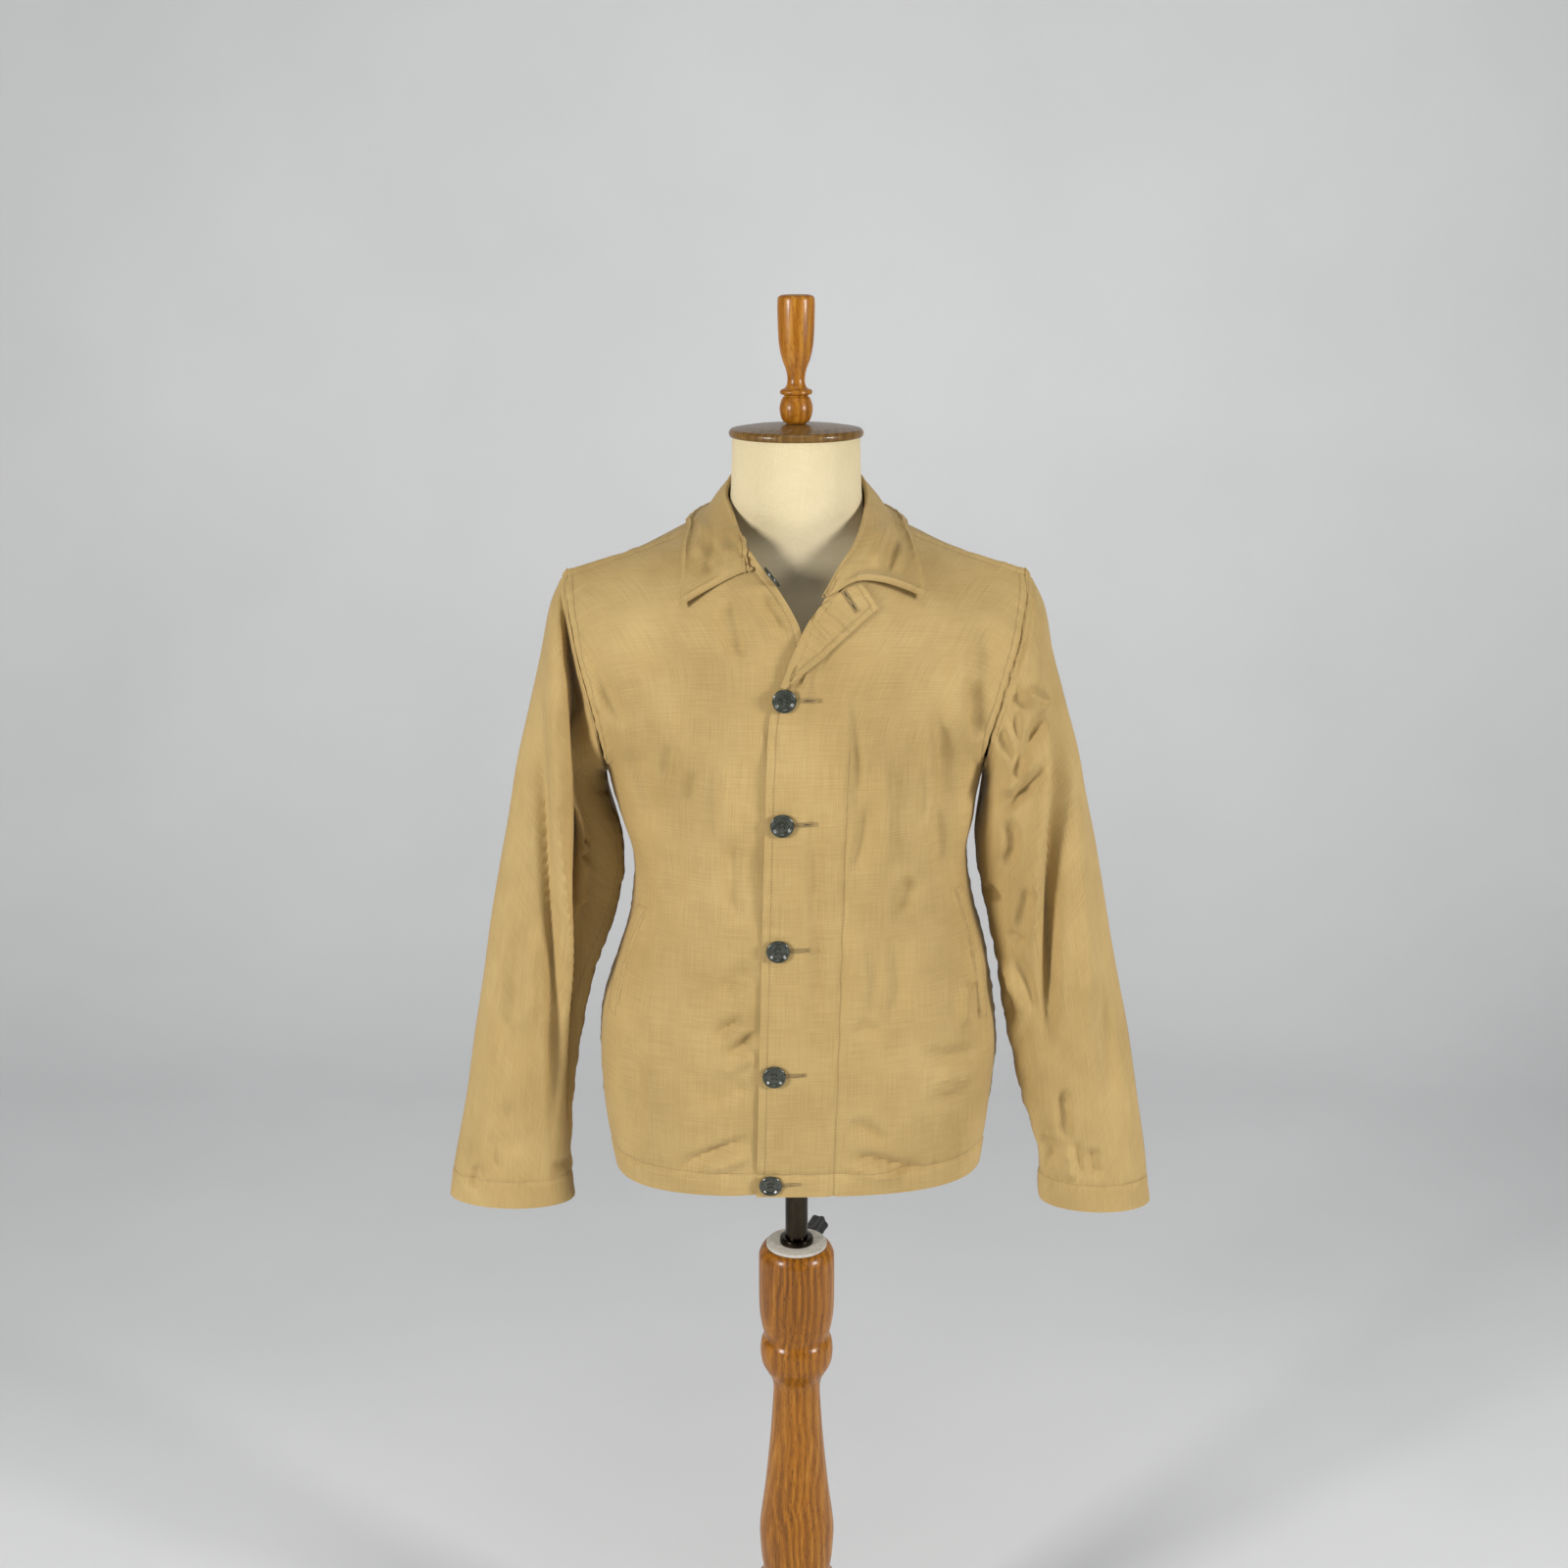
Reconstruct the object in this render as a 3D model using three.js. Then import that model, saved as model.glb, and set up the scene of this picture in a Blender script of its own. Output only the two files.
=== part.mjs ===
// A men's coach jacket, buttoned over a limbless dress form on a turned wooden stand.
// Millimetres, +Z up. The origin is on the floor under the pole. The jacket's front faces -Y,
// and +X is the wearer's left. Cloth is rigid here: every panel is a thin closed wall.
import * as THREE from 'three';
import { mergeVertices } from 'three/addons/utils/BufferGeometryUtils.js';

// Cloth
const CLOTH = 1.3; // wall of a single panel
const COLLAR_CLOTH = 1.6; // two layers and their interlining
const SEAM_GAP = 0.2; // each piece stops this far short of a seam
const LAYER_GAP = 0.6; // between a panel and what lies on it
const LAP_SINK = 3.2; // the right front lies this far behind the left one at the buttons
const LAP_SHORTENING = 0.8; // the right front's rows pull less, because they start at the lap's far side
const LAP_RAMP = 30; // width over which the right front comes forward again
const LAP_TOP = 1300; // the lap ends here, under the open neck
const LAP_TOP_FADE = 30; // height over which the sinking ends
const COLLAR_ROLL = 2.6; // radius of the fold along the collar's crest
const LEAF_BOW = 3; // how far the collar's leaf bows out between crest and edge
const THROAT_BOW = 13; // how much more its left front end does, where it meets the turned-back corner
const LEAF_LIFT = 1; // the leaf lies this much higher on the panels than the stand
const LAPEL_BOW = 1.2; // how far the turned-back corner bows out between its edges
const LAPEL_SPRING = 1; // how far its outer edge stands off the front
const SLEEVE_HEAD_ROWS = 3; // rows over which a sleeve passes from the armhole to its own oval

// Mesh steps
const PANEL_COLUMNS = 12;
const PANEL_ROWS = 24;
const SLEEVE_SIDES = 20;
const SLEEVE_ROWS = 22;
const COLLAR_STATIONS = 28;
const COLLAR_CREST_STEP = 3; // steps of the collar's section before its crest
const LAPEL_ROW_STEPS = 14;
const LAPEL_COLUMN_STEPS = 5;
const POCKET_STEPS = 12;
const CAP_SIDES = 32;
const FINIAL_SIDES = 18;
const BASE_SIDES = 36;
const KNOB_SIDES = 24;
const FORM_SIDES = 24;
const FORM_ROWS = 22;
const TURNED_SIDES = 20;
const DENSE = 90; // steps of the finer grid that pieces are seated on

// Buttons
const BUTTON_RADIUS = 11.25;
const CUFF_BUTTON_RADIUS = 9.5;
const BUTTON_SIDES = 12;
// The button's profile as shares of its radius: a raised rim round a shallow dish.
const BUTTON_PROFILE = [
  [0, 0], [0.8, 0], [0.98, 0.09], [1, 0.2], [0.92, 0.29], [0.78, 0.27], [0.66, 0.2], [0, 0.2],
];

// Stand
const BASE_RADIUS = 190;
const BASE_HEIGHT = 26;
const POLE_RADIUS = 11.75;
const BORE_RADIUS = 12.2;
const BORE_FLOOR = 360;
const POLE_FOOT = 425;
const COLUMN_TOP = 622;
const PLATE_HEIGHT = 3;
const BUSH_RADIUS = 17.5;
const BUSH_HEIGHT = 6;
const FORM_FOOT = 760;
const NECK_TOP = 1458;
const CAP_RADIUS = 63.3;
const CAP_TOP = 1470;
const FINIAL_TOP = 1588;
const KNOB_AZIMUTH = 19; // degrees from straight behind, towards +X
const KNOB_HEIGHT = 609;
const TOUCH = 0.3; // gap of two hard pieces that rest on each other

// The fronts, a row from hem to shoulder seam. lx, ly, lz: edge of the left front, which is its
// roll line above the first button. rx, ry, rz: edge of the right front.
// ex, ey, ez and sx, sy, sz: pulls of the row's curve at its edge and at its side.
const FRONT_ROWS = [
  {
    lx: -40, ly: -104, lz: 728, rx: -6, ry: -104, rz: 729,
    ex: 150, ey: -4, ez: 0, sx: 0, sy: -92, sz: 0,
  },
  {
    lx: -38.5, ly: -112, lz: 790, rx: -4.5, ry: -112, rz: 790,
    ex: 148, ey: -4, ez: 0, sx: 0, sy: -86, sz: 0,
  },
  {
    lx: -37, ly: -118, lz: 850, rx: -3, ry: -118, rz: 850,
    ex: 142, ey: -4, ez: 0, sx: 0, sy: -86, sz: 0,
  },
  {
    lx: -35.5, ly: -121, lz: 905, rx: -1.5, ry: -121, rz: 905,
    ex: 134, ey: -4, ez: 0, sx: 0, sy: -84, sz: 0,
  },
  {
    lx: -34, ly: -123, lz: 960, rx: 0, ry: -123, rz: 960,
    ex: 126, ey: -4, ez: 0, sx: 0, sy: -80, sz: 0,
  },
  {
    lx: -32.5, ly: -124, lz: 1015, rx: 1, ry: -124, rz: 1015,
    ex: 120, ey: -4, ez: 0, sx: 0, sy: -78, sz: 0,
  },
  {
    lx: -31, ly: -126, lz: 1070, rx: 3, ry: -126, rz: 1070,
    ex: 118, ey: -4, ez: 0, sx: 0, sy: -77, sz: 0,
  },
  {
    lx: -29.5, ly: -127, lz: 1120, rx: 4, ry: -127, rz: 1120,
    ex: 114, ey: -4, ez: 0, sx: 0, sy: -76, sz: 2,
  },
  {
    lx: -28, ly: -128, lz: 1170, rx: 6, ry: -128, rz: 1168,
    ex: 106, ey: -4, ez: 0, sx: -4, sy: -66, sz: 8,
  },
  {
    lx: -26.5, ly: -128, lz: 1212, rx: 8, ry: -128, rz: 1206,
    ex: 94, ey: -4, ez: -6, sx: -26, sy: -44, sz: 14,
  },
  {
    lx: -17, ly: -128, lz: 1243, rx: 8, ry: -127, rz: 1250,
    ex: 80, ey: -4, ez: -8, sx: -40, sy: -30, sz: 16,
  },
  {
    lx: 5.5, ly: -122, lz: 1296, rx: 4, ry: -121, rz: 1294,
    ex: 70, ey: 4, ez: -8, sx: -52, sy: -24, sz: 18,
  },
  {
    lx: 24, ly: -110, lz: 1321, rx: -14, ry: -113, rz: 1328,
    ex: 60, ey: 8, ez: -10, sx: -54, sy: -18, sz: 22,
  },
  {
    lx: 39, ly: -96, lz: 1342, rx: -29, ry: -102, rz: 1346,
    ex: 54, ey: 6, ez: -12, sx: -54, sy: -14, sz: 22,
  },
  {
    lx: 54, ly: -75, lz: 1359, rx: -43, ry: -85, rz: 1364,
    ex: 50, ey: 5, ez: -17, sx: -54, sy: -10, sz: 19,
  },
  {
    lx: 66, ly: -41, lz: 1374, rx: -60, ry: -48, rz: 1378,
    ex: 50, ey: 4, ez: -22, sx: -52, sy: -6, sz: 17,
  },
  {
    lx: 75, ly: -2, lz: 1386, rx: -75, ry: -2, rz: 1387,
    ex: 50, ey: 3, ez: -26, sx: -50, sy: -3, sz: 16,
  },
];
// Side seam and armhole, row by row. x is the half width on the wearer's left and right;
// above the underarm, y and z of the front armhole and of the back one part.
const UNDERARM_ROW = 8;
const SIDE_ROWS = [
  { left: 189, right: 186, frontY: 8, backY: 8, frontZ: 727, backZ: 727 },
  { left: 197, right: 195.5, frontY: 6, backY: 6, frontZ: 790, backZ: 790 },
  { left: 202, right: 198, frontY: 4, backY: 4, frontZ: 850, backZ: 850 },
  { left: 197, right: 193, frontY: 3, backY: 3, frontZ: 905, backZ: 905 },
  { left: 188, right: 175, frontY: 2, backY: 2, frontZ: 958, backZ: 958 },
  { left: 174, right: 162, frontY: 2, backY: 2, frontZ: 1010, backZ: 1010 },
  { left: 168, right: 161, frontY: 2, backY: 2, frontZ: 1060, backZ: 1060 },
  { left: 173, right: 175, frontY: 2, backY: 2, frontZ: 1105, backZ: 1105 },
  { left: 180, right: 184, frontY: 0, backY: 0, frontZ: 1138, backZ: 1138 },
  { left: 181, right: 185, frontY: -34, backY: 36, frontZ: 1153, backZ: 1155 },
  { left: 185, right: 189, frontY: -55, backY: 60, frontZ: 1182, backZ: 1185 },
  { left: 194, right: 196, frontY: -60, backY: 70, frontZ: 1216, backZ: 1219 },
  { left: 204, right: 205, frontY: -53, backY: 66, frontZ: 1248, backZ: 1250 },
  { left: 212, right: 212, frontY: -40, backY: 54, frontZ: 1275, backZ: 1278 },
  { left: 217.5, right: 217.5, frontY: -24, backY: 39, frontZ: 1297, backZ: 1300 },
  { left: 220.5, right: 220.5, frontY: -8, backY: 23, frontZ: 1316, backZ: 1318 },
  { left: 221, right: 221, frontY: 8, backY: 8, frontZ: 1331, backZ: 1331 },
];
// The back, a row from hem to shoulder seam. x, y, z: centre back, then the neck seam.
const NECK_ROW = 13;
const BACK_ROWS = [
  { x: 0, y: 106, z: 733, ex: 95, ey: 0, ez: 0, sx: 0, sy: 60, sz: 0 },
  { x: 0, y: 110, z: 790, ex: 98, ey: 0, ez: 0, sx: 0, sy: 66, sz: 0 },
  { x: 0, y: 111, z: 850, ex: 98, ey: 0, ez: 0, sx: 0, sy: 66, sz: 0 },
  { x: 0, y: 108, z: 905, ex: 96, ey: 0, ez: 0, sx: 0, sy: 66, sz: 0 },
  { x: 0, y: 104, z: 960, ex: 94, ey: 0, ez: 0, sx: 0, sy: 66, sz: 0 },
  { x: 0, y: 102, z: 1015, ex: 92, ey: 0, ez: 0, sx: 0, sy: 66, sz: 0 },
  { x: 0, y: 103, z: 1070, ex: 92, ey: 0, ez: 0, sx: 0, sy: 66, sz: 0 },
  { x: 0, y: 107, z: 1120, ex: 92, ey: 0, ez: 0, sx: 0, sy: 66, sz: 2 },
  { x: 0, y: 112, z: 1172, ex: 92, ey: 0, ez: 0, sx: -4, sy: 62, sz: 8 },
  { x: 0, y: 116, z: 1222, ex: 88, ey: 0, ez: -4, sx: -26, sy: 44, sz: 16 },
  { x: 0, y: 117, z: 1272, ex: 82, ey: 2, ez: -6, sx: -40, sy: 30, sz: 20 },
  { x: 0, y: 111, z: 1320, ex: 74, ey: 4, ez: -6, sx: -50, sy: 26, sz: 24 },
  { x: 0, y: 95, z: 1364, ex: 66, ey: 6, ez: -5, sx: -54, sy: 22, sz: 28 },
  { x: 0, y: 68, z: 1400, ex: 56, ey: 8, ez: -6, sx: -56, sy: 18, sz: 28 },
  { x: 44, y: 56, z: 1398, ex: 50, ey: 8, ez: -16, sx: -55, sy: 13, sz: 22 },
  { x: 67, y: 28, z: 1392, ex: 50, ey: 5, ez: -22, sx: -52, sy: 7, sz: 18 },
  { x: 75, y: -2, z: 1386.5, ex: 50, ey: 3, ez: -26, sx: -50, sy: -3, sz: 16 },
];
// The sleeves, a row from armhole to cuff: outer and inner line seen from the front, and depth.
const SLEEVE_LEFT_ROWS = [
  { ox: 221, oz: 1331, ix: 180, iz: 1138, front: -62, back: 72 },
  { ox: 238, oz: 1299, ix: 183, iz: 1124, front: -65, back: 72 },
  { ox: 247, oz: 1256, ix: 181, iz: 1106, front: -66, back: 70 },
  { ox: 259, oz: 1212, ix: 178, iz: 1084, front: -65, back: 66 },
  { ox: 271, oz: 1168, ix: 177, iz: 1058, front: -63, back: 61 },
  { ox: 284, oz: 1112, ix: 181, iz: 1028, front: -60, back: 55 },
  { ox: 298, oz: 1045, ix: 190, iz: 988, front: -58, back: 49 },
  { ox: 313, oz: 967, ix: 201, iz: 938, front: -56, back: 43 },
  { ox: 330, oz: 888, ix: 210, iz: 878, front: -54, back: 37 },
  { ox: 345, oz: 805, ix: 228, iz: 800, front: -51, back: 31 },
  { ox: 357, oz: 735, ix: 246, iz: 738, front: -48, back: 25 },
  { ox: 363, oz: 682, ix: 250, iz: 684, front: -50, back: 21 },
];
const SLEEVE_RIGHT_ROWS = [
  { ox: 221, oz: 1331, ix: 184, iz: 1138, front: -62, back: 72 },
  { ox: 236, oz: 1299, ix: 187, iz: 1124, front: -65, back: 72 },
  { ox: 245, oz: 1256, ix: 184, iz: 1106, front: -66, back: 70 },
  { ox: 257, oz: 1208, ix: 176, iz: 1082, front: -65, back: 66 },
  { ox: 269, oz: 1158, ix: 171, iz: 1052, front: -63, back: 61 },
  { ox: 282, oz: 1092, ix: 173, iz: 1016, front: -60, back: 55 },
  { ox: 297, oz: 1021, ix: 184, iz: 976, front: -58, back: 49 },
  { ox: 312, oz: 938, ix: 199, iz: 936, front: -56, back: 43 },
  { ox: 325, oz: 862, ix: 214, iz: 878, front: -54, back: 37 },
  { ox: 338, oz: 785, ix: 226, iz: 802, front: -51, back: 31 },
  { ox: 351, oz: 725, ix: 231, iz: 740, front: -48, back: 25 },
  { ox: 356, oz: 690, ix: 229, iz: 686, front: -49, back: 21 },
];
// The collar, a row from front end to centre back: seam, crest and outer edge.
const COLLAR_RIGHT_ROWS = [
  { sx: 44, sy: -85, sz: 1341, cx: 43, cy: -92, cz: 1346, lx: 108, ly: -92, lz: 1314 },
  { sx: 50, sy: -72, sz: 1364, cx: 47, cy: -78, cz: 1367, lx: 106, ly: -72, lz: 1336 },
  { sx: 61, sy: -48, sz: 1380, cx: 56, cy: -54, cz: 1383, lx: 104, ly: -44, lz: 1355 },
  { sx: 70, sy: -22, sz: 1386, cx: 62, cy: -27, cz: 1396, lx: 102, ly: -15, lz: 1366 },
  { sx: 75, sy: 2, sz: 1391, cx: 67, cy: 0, cz: 1407, lx: 99, ly: 14, lz: 1370 },
  { sx: 67, sy: 29, sz: 1396, cx: 61, cy: 32, cz: 1420, lx: 89, ly: 46, lz: 1377 },
  { sx: 48, sy: 53, sz: 1401, cx: 45, cy: 54, cz: 1428, lx: 63, ly: 72, lz: 1385 },
  { sx: 24, sy: 66, sz: 1403, cx: 23, cy: 67, cz: 1432, lx: 32, ly: 84, lz: 1388 },
  { sx: 0, sy: 70, sz: 1404, cx: 0, cy: 71, cz: 1433, lx: 0, ly: 88, lz: 1389 },
];
const COLLAR_LEFT_ROWS = [
  { sx: 28, sy: -106, sz: 1327, cx: 25, cy: -111, cz: 1328, lx: 121, ly: -84, lz: 1320 },
  { sx: 43, sy: -90, sz: 1348, cx: 40, cy: -95, cz: 1352, lx: 119, ly: -62, lz: 1340 },
  { sx: 58, sy: -66, sz: 1364, cx: 55, cy: -70, cz: 1371, lx: 113, ly: -38, lz: 1356 },
  { sx: 69, sy: -34, sz: 1379, cx: 64, cy: -37, cz: 1391, lx: 105, ly: -10, lz: 1365 },
  { sx: 75, sy: 3, sz: 1391, cx: 67, cy: 2, cz: 1407, lx: 99, ly: 18, lz: 1370 },
  ...COLLAR_RIGHT_ROWS.slice(5),
];
// The form, a ring from foot to neck.
const FORM_RINGS = [
  { z: 760, half: 150, front: 84, back: 84, power: 2.3 },
  { z: 772, half: 160, front: 90, back: 90, power: 2.3 },
  { z: 850, half: 172, front: 96, back: 98, power: 2.3 },
  { z: 930, half: 160, front: 94, back: 90, power: 2.3 },
  { z: 1015, half: 144, front: 92, back: 82, power: 2.2 },
  { z: 1090, half: 148, front: 98, back: 88, power: 2.2 },
  { z: 1150, half: 160, front: 106, back: 97, power: 2.2 },
  { z: 1215, half: 174, front: 108, back: 104, power: 2.1 },
  { z: 1265, half: 188, front: 103, back: 103, power: 1.9 },
  { z: 1300, half: 200, front: 88, back: 97, power: 1.6 },
  { z: 1319, half: 198, front: 78, back: 90, power: 1.45 },
  { z: 1334, half: 176, front: 71, back: 84, power: 1.35 },
  { z: 1351, half: 134, front: 65, back: 76, power: 1.3 },
  { z: 1367, half: 94, front: 61, back: 69, power: 1.28 },
  { z: 1384, half: 68, front: 60.5, back: 64, power: 1.6 },
  { z: 1398, half: 62.2, front: 60.5, back: 62, power: 2 },
  { z: 1458, half: 60, front: 60, back: 60, power: 2 },
];
// The largest folds, as lines seen from the front or back: ridges have a plus depth.
const FRONT_FOLDS = [
  { x1: -178, z1: 1230, x2: -120, z2: 1040, width: 24, depth: 3 },
  { x1: -160, z1: 1130, x2: -105, z2: 1030, width: 20, depth: -3 },
  { x1: -90, z1: 930, x2: -45, z2: 985, width: 12, depth: -3 },
  { x1: -105, z1: 830, x2: -45, z2: 880, width: 14, depth: -2.5 },
  { x1: 180, z1: 1180, x2: 150, z2: 1060, width: 20, depth: 3 },
];
const BACK_FOLDS = [
  { x1: -175, z1: 1190, x2: -120, z2: 1090, width: 20, depth: 4 },
  { x1: 175, z1: 1190, x2: 120, z2: 1090, width: 20, depth: 4 },
  { x1: -60, z1: 1010, x2: 80, z2: 980, width: 22, depth: -3 },
];
const SLEEVE_LEFT_FOLDS = [
  { x1: 262, z1: 1240, x2: 258, z2: 800, width: 12, depth: -6 },
  { x1: 200, z1: 1210, x2: 250, z2: 1180, width: 12, depth: 5 },
  { x1: 196, z1: 1165, x2: 235, z2: 1110, width: 12, depth: -5 },
  { x1: 205, z1: 1080, x2: 240, z2: 1030, width: 14, depth: 4 },
];
const SLEEVE_RIGHT_FOLDS = [
  { x1: -205, z1: 1240, x2: -206, z2: 930, width: 13, depth: -9 },
  { x1: -229, z1: 1260, x2: -236, z2: 900, width: 12, depth: 4 },
  { x1: -250, z1: 1190, x2: -262, z2: 940, width: 12, depth: -4 },
];

const COLOURS = {
  cloth: { color: 0xb49a68, roughness: 0.85, metalness: 0 },
  facing: { color: 0xb99f6c, roughness: 0.85, metalness: 0 },
  button: { color: 0x26281f, roughness: 0.3, metalness: 0 },
  canvas: { color: 0xe6dcbd, roughness: 0.9, metalness: 0 },
  beech: { color: 0x99582a, roughness: 0.4, metalness: 0 },
  walnut: { color: 0x6d4122, roughness: 0.4, metalness: 0 },
  steel: { color: 0x5b5854, roughness: 0.25, metalness: 0.9 },
  plate: { color: 0xb8b3a8, roughness: 0.5, metalness: 0.4 },
  plastic: { color: 0x141414, roughness: 0.5, metalness: 0 },
};

const jacket = new THREE.Group();
const dressForm = new THREE.Group();

function addPiece(group, name, geometry, finish) {
  const mesh = new THREE.Mesh(geometry, new THREE.MeshStandardMaterial(COLOURS[finish]));
  mesh.name = name;
  group.add(mesh);
  return mesh;
}

// A column of a table as a smooth curve; t counts rows.
function column(rows, key, t) {
  const last = rows.length - 1;
  const i = Math.min(Math.floor(t), last - 1);
  const f = t - i;
  const value = (k) => rows[Math.min(Math.max(k, 0), last)][key];
  const before = i > 0 ? value(i - 1) : 2 * value(0) - value(1);
  const after = i + 2 <= last ? value(i + 2) : 2 * value(last) - value(last - 1);
  const a = value(i);
  const b = value(i + 1);
  const slopeA = (b - before) / 2;
  const slopeB = (after - a) / 2;
  const f2 = f * f;
  const f3 = f2 * f;
  return (2 * f3 - 3 * f2 + 1) * a + (f3 - 2 * f2 + f) * slopeA + (3 * f2 - 2 * f3) * b + (f3 - f2) * slopeB;
}

function smooth(f) {
  const c = Math.min(Math.max(f, 0), 1);
  return c * c * (3 - 2 * c);
}

function bezier(a, b, c, d, s) {
  return new THREE.CubicBezierCurve3(a, b, c, d).getPoint(s);
}

// How far the folds lift the cloth at a point seen from the front or back.
function foldLift(folds, x, z) {
  let lift = 0;
  for (const fold of folds) {
    const along = new THREE.Vector2(fold.x2 - fold.x1, fold.z2 - fold.z1);
    const length = along.length();
    along.divideScalar(length);
    const offset = new THREE.Vector2(x - fold.x1, z - fold.z1);
    const travel = offset.dot(along);
    const aside = Math.abs(offset.cross(along));
    const ends = smooth(travel / (0.3 * length)) * smooth((length - travel) / (0.3 * length));
    lift += fold.depth * ends * Math.exp(-((aside / fold.width) ** 2));
  }
  return lift;
}

function gridNormal(grid, r, c, wraps) {
  const rows = grid.length;
  const columns = grid[0].length;
  const up = grid[Math.min(r + 1, rows - 1)][c].clone().sub(grid[Math.max(r - 1, 0)][c]);
  const next = wraps ? (c + 1) % columns : Math.min(c + 1, columns - 1);
  const previous = wraps ? (c + columns - 1) % columns : Math.max(c - 1, 0);
  const across = grid[r][next].clone().sub(grid[r][previous]);
  return across.cross(up).normalize();
}

function gridNormals(grid, wraps, outward) {
  return grid.map((row, r) => row.map((_, c) => gridNormal(grid, r, c, wraps).multiplyScalar(outward)));
}

// A closed body from triangles that index a list of points, turned so that its faces point out.
function solid(points, triangles) {
  let volume = 0;
  for (const [a, b, c] of triangles) {
    volume += points[a].dot(points[b].clone().cross(points[c]));
  }
  const index = triangles.flatMap(([a, b, c]) => (volume > 0 ? [a, b, c] : [a, c, b]));
  const geometry = new THREE.BufferGeometry();
  geometry.setAttribute('position', new THREE.Float32BufferAttribute(points.flatMap((p) => p.toArray()), 3));
  geometry.setIndex(index);
  const merged = mergeVertices(geometry, 1e-3);
  merged.computeVertexNormals();
  return merged;
}

function quad(triangles, a, b, c, d) {
  triangles.push([a, b, c], [a, c, d]);
}

// A cloth wall: outer points, and inner ones a wall's thickness behind them. hasEdge(r) says where
// column 0 is a free edge; where it isn't, the neighbour grid's wall closes it.
function wallParts(grid, normals, thickness, wraps, offset, hasEdge) {
  const rows = grid.length;
  const columns = grid[0].length;
  const points = grid.flat().map((p) => p.clone());
  grid.forEach((row, r) => row.forEach((p, c) => {
    points.push(p.clone().addScaledVector(normals[r][c], -thickness));
  }));
  const outer = (r, c) => offset + r * columns + (c % columns);
  const inner = (r, c) => outer(r, c) + rows * columns;
  const triangles = [];
  const lastColumn = wraps ? columns : columns - 1;
  for (let r = 0; r < rows - 1; r += 1) {
    for (let c = 0; c < lastColumn; c += 1) {
      quad(triangles, outer(r, c), outer(r, c + 1), outer(r + 1, c + 1), outer(r + 1, c));
      quad(triangles, inner(r, c), inner(r + 1, c), inner(r + 1, c + 1), inner(r, c + 1));
    }
  }
  for (let c = 0; c < lastColumn; c += 1) {
    quad(triangles, outer(0, c), inner(0, c), inner(0, c + 1), outer(0, c + 1));
    quad(triangles, outer(rows - 1, c), outer(rows - 1, c + 1), inner(rows - 1, c + 1), inner(rows - 1, c));
  }
  if (!wraps) {
    for (let r = 0; r < rows - 1; r += 1) {
      if (hasEdge(r)) {
        quad(triangles, outer(r, 0), outer(r + 1, 0), inner(r + 1, 0), inner(r, 0));
      }
      const c = columns - 1;
      quad(triangles, outer(r, c), inner(r, c), inner(r + 1, c), outer(r + 1, c));
    }
  }
  return { points, triangles };
}

function wall(grid, normals, thickness, wraps = false) {
  const parts = wallParts(grid, normals, thickness, wraps, 0, () => true);
  return solid(parts.points, parts.triangles);
}

// Pulls a panel's edge back from a seam.
function trimTowards(point, neighbour) {
  const step = neighbour.clone().sub(point);
  return point.addScaledVector(step.normalize(), SEAM_GAP);
}

function sidePoint(hand, isFront, t) {
  const half = column(SIDE_ROWS, hand > 0 ? 'left' : 'right', t);
  const own = isFront ? ['frontY', 'frontZ'] : ['backY', 'backZ'];
  const shared = (axis) => (column(SIDE_ROWS, `front${axis}`, t) + column(SIDE_ROWS, `back${axis}`, t)) / 2;
  const [y, z] = t > UNDERARM_ROW ? own.map((key) => column(SIDE_ROWS, key, t)) : [shared('Y'), shared('Z')];
  return new THREE.Vector3(hand * half, y, z);
}

function pull(rows, keys, hand, t) {
  const [x, y, z] = keys.map((key) => column(rows, key, t));
  return new THREE.Vector3(hand * x, y, z);
}

// One row of a front, from its edge to its side.
function frontPoint(hand, t, s) {
  const keys = hand > 0 ? ['lx', 'ly', 'lz'] : ['rx', 'ry', 'rz'];
  const edge = new THREE.Vector3(...keys.map((key) => column(FRONT_ROWS, key, t)));
  const side = sidePoint(hand, true, t);
  const edgePull = pull(FRONT_ROWS, ['ex', 'ey', 'ez'], hand, t);
  edgePull.x *= hand < 0 ? LAP_SHORTENING : 1;
  const fromEdge = edge.clone().add(edgePull);
  const fromSide = side.clone().add(pull(FRONT_ROWS, ['sx', 'sy', 'sz'], hand, t));
  return bezier(edge, fromEdge, fromSide, side, s);
}

function backPoint(hand, t, s) {
  const centre = pull(BACK_ROWS, ['x', 'y', 'z'], hand, Math.max(t, 0));
  const side = sidePoint(hand, false, t);
  const fromCentre = centre.clone().add(pull(BACK_ROWS, ['ex', 'ey', 'ez'], hand, t));
  const fromSide = side.clone().add(pull(BACK_ROWS, ['sx', 'sy', 'sz'], hand, t));
  if (t <= NECK_ROW) {
    centre.x = 0;
  }
  return bezier(centre, fromCentre, fromSide, side, s);
}

// A panel's points on an even grid, with the folds raised along its normals.
function panelGrid(pointAt, rowSteps, columnSteps, outward, folds) {
  const lastRow = SIDE_ROWS.length - 1;
  const grid = [];
  for (let r = 0; r <= rowSteps; r += 1) {
    const row = [];
    for (let c = 0; c <= columnSteps; c += 1) {
      row.push(pointAt((r / rowSteps) * lastRow, c / columnSteps));
    }
    grid.push(row);
  }
  const normals = gridNormals(grid, false, outward);
  grid.forEach((row, r) => row.forEach((p, c) => {
    const seamFade = smooth(r / 2) * smooth((rowSteps - r) / 3) * smooth((columnSteps - c) / 2);
    p.addScaledVector(normals[r][c], seamFade * foldLift(folds, p.x, p.z));
  }));
  return grid;
}

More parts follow.
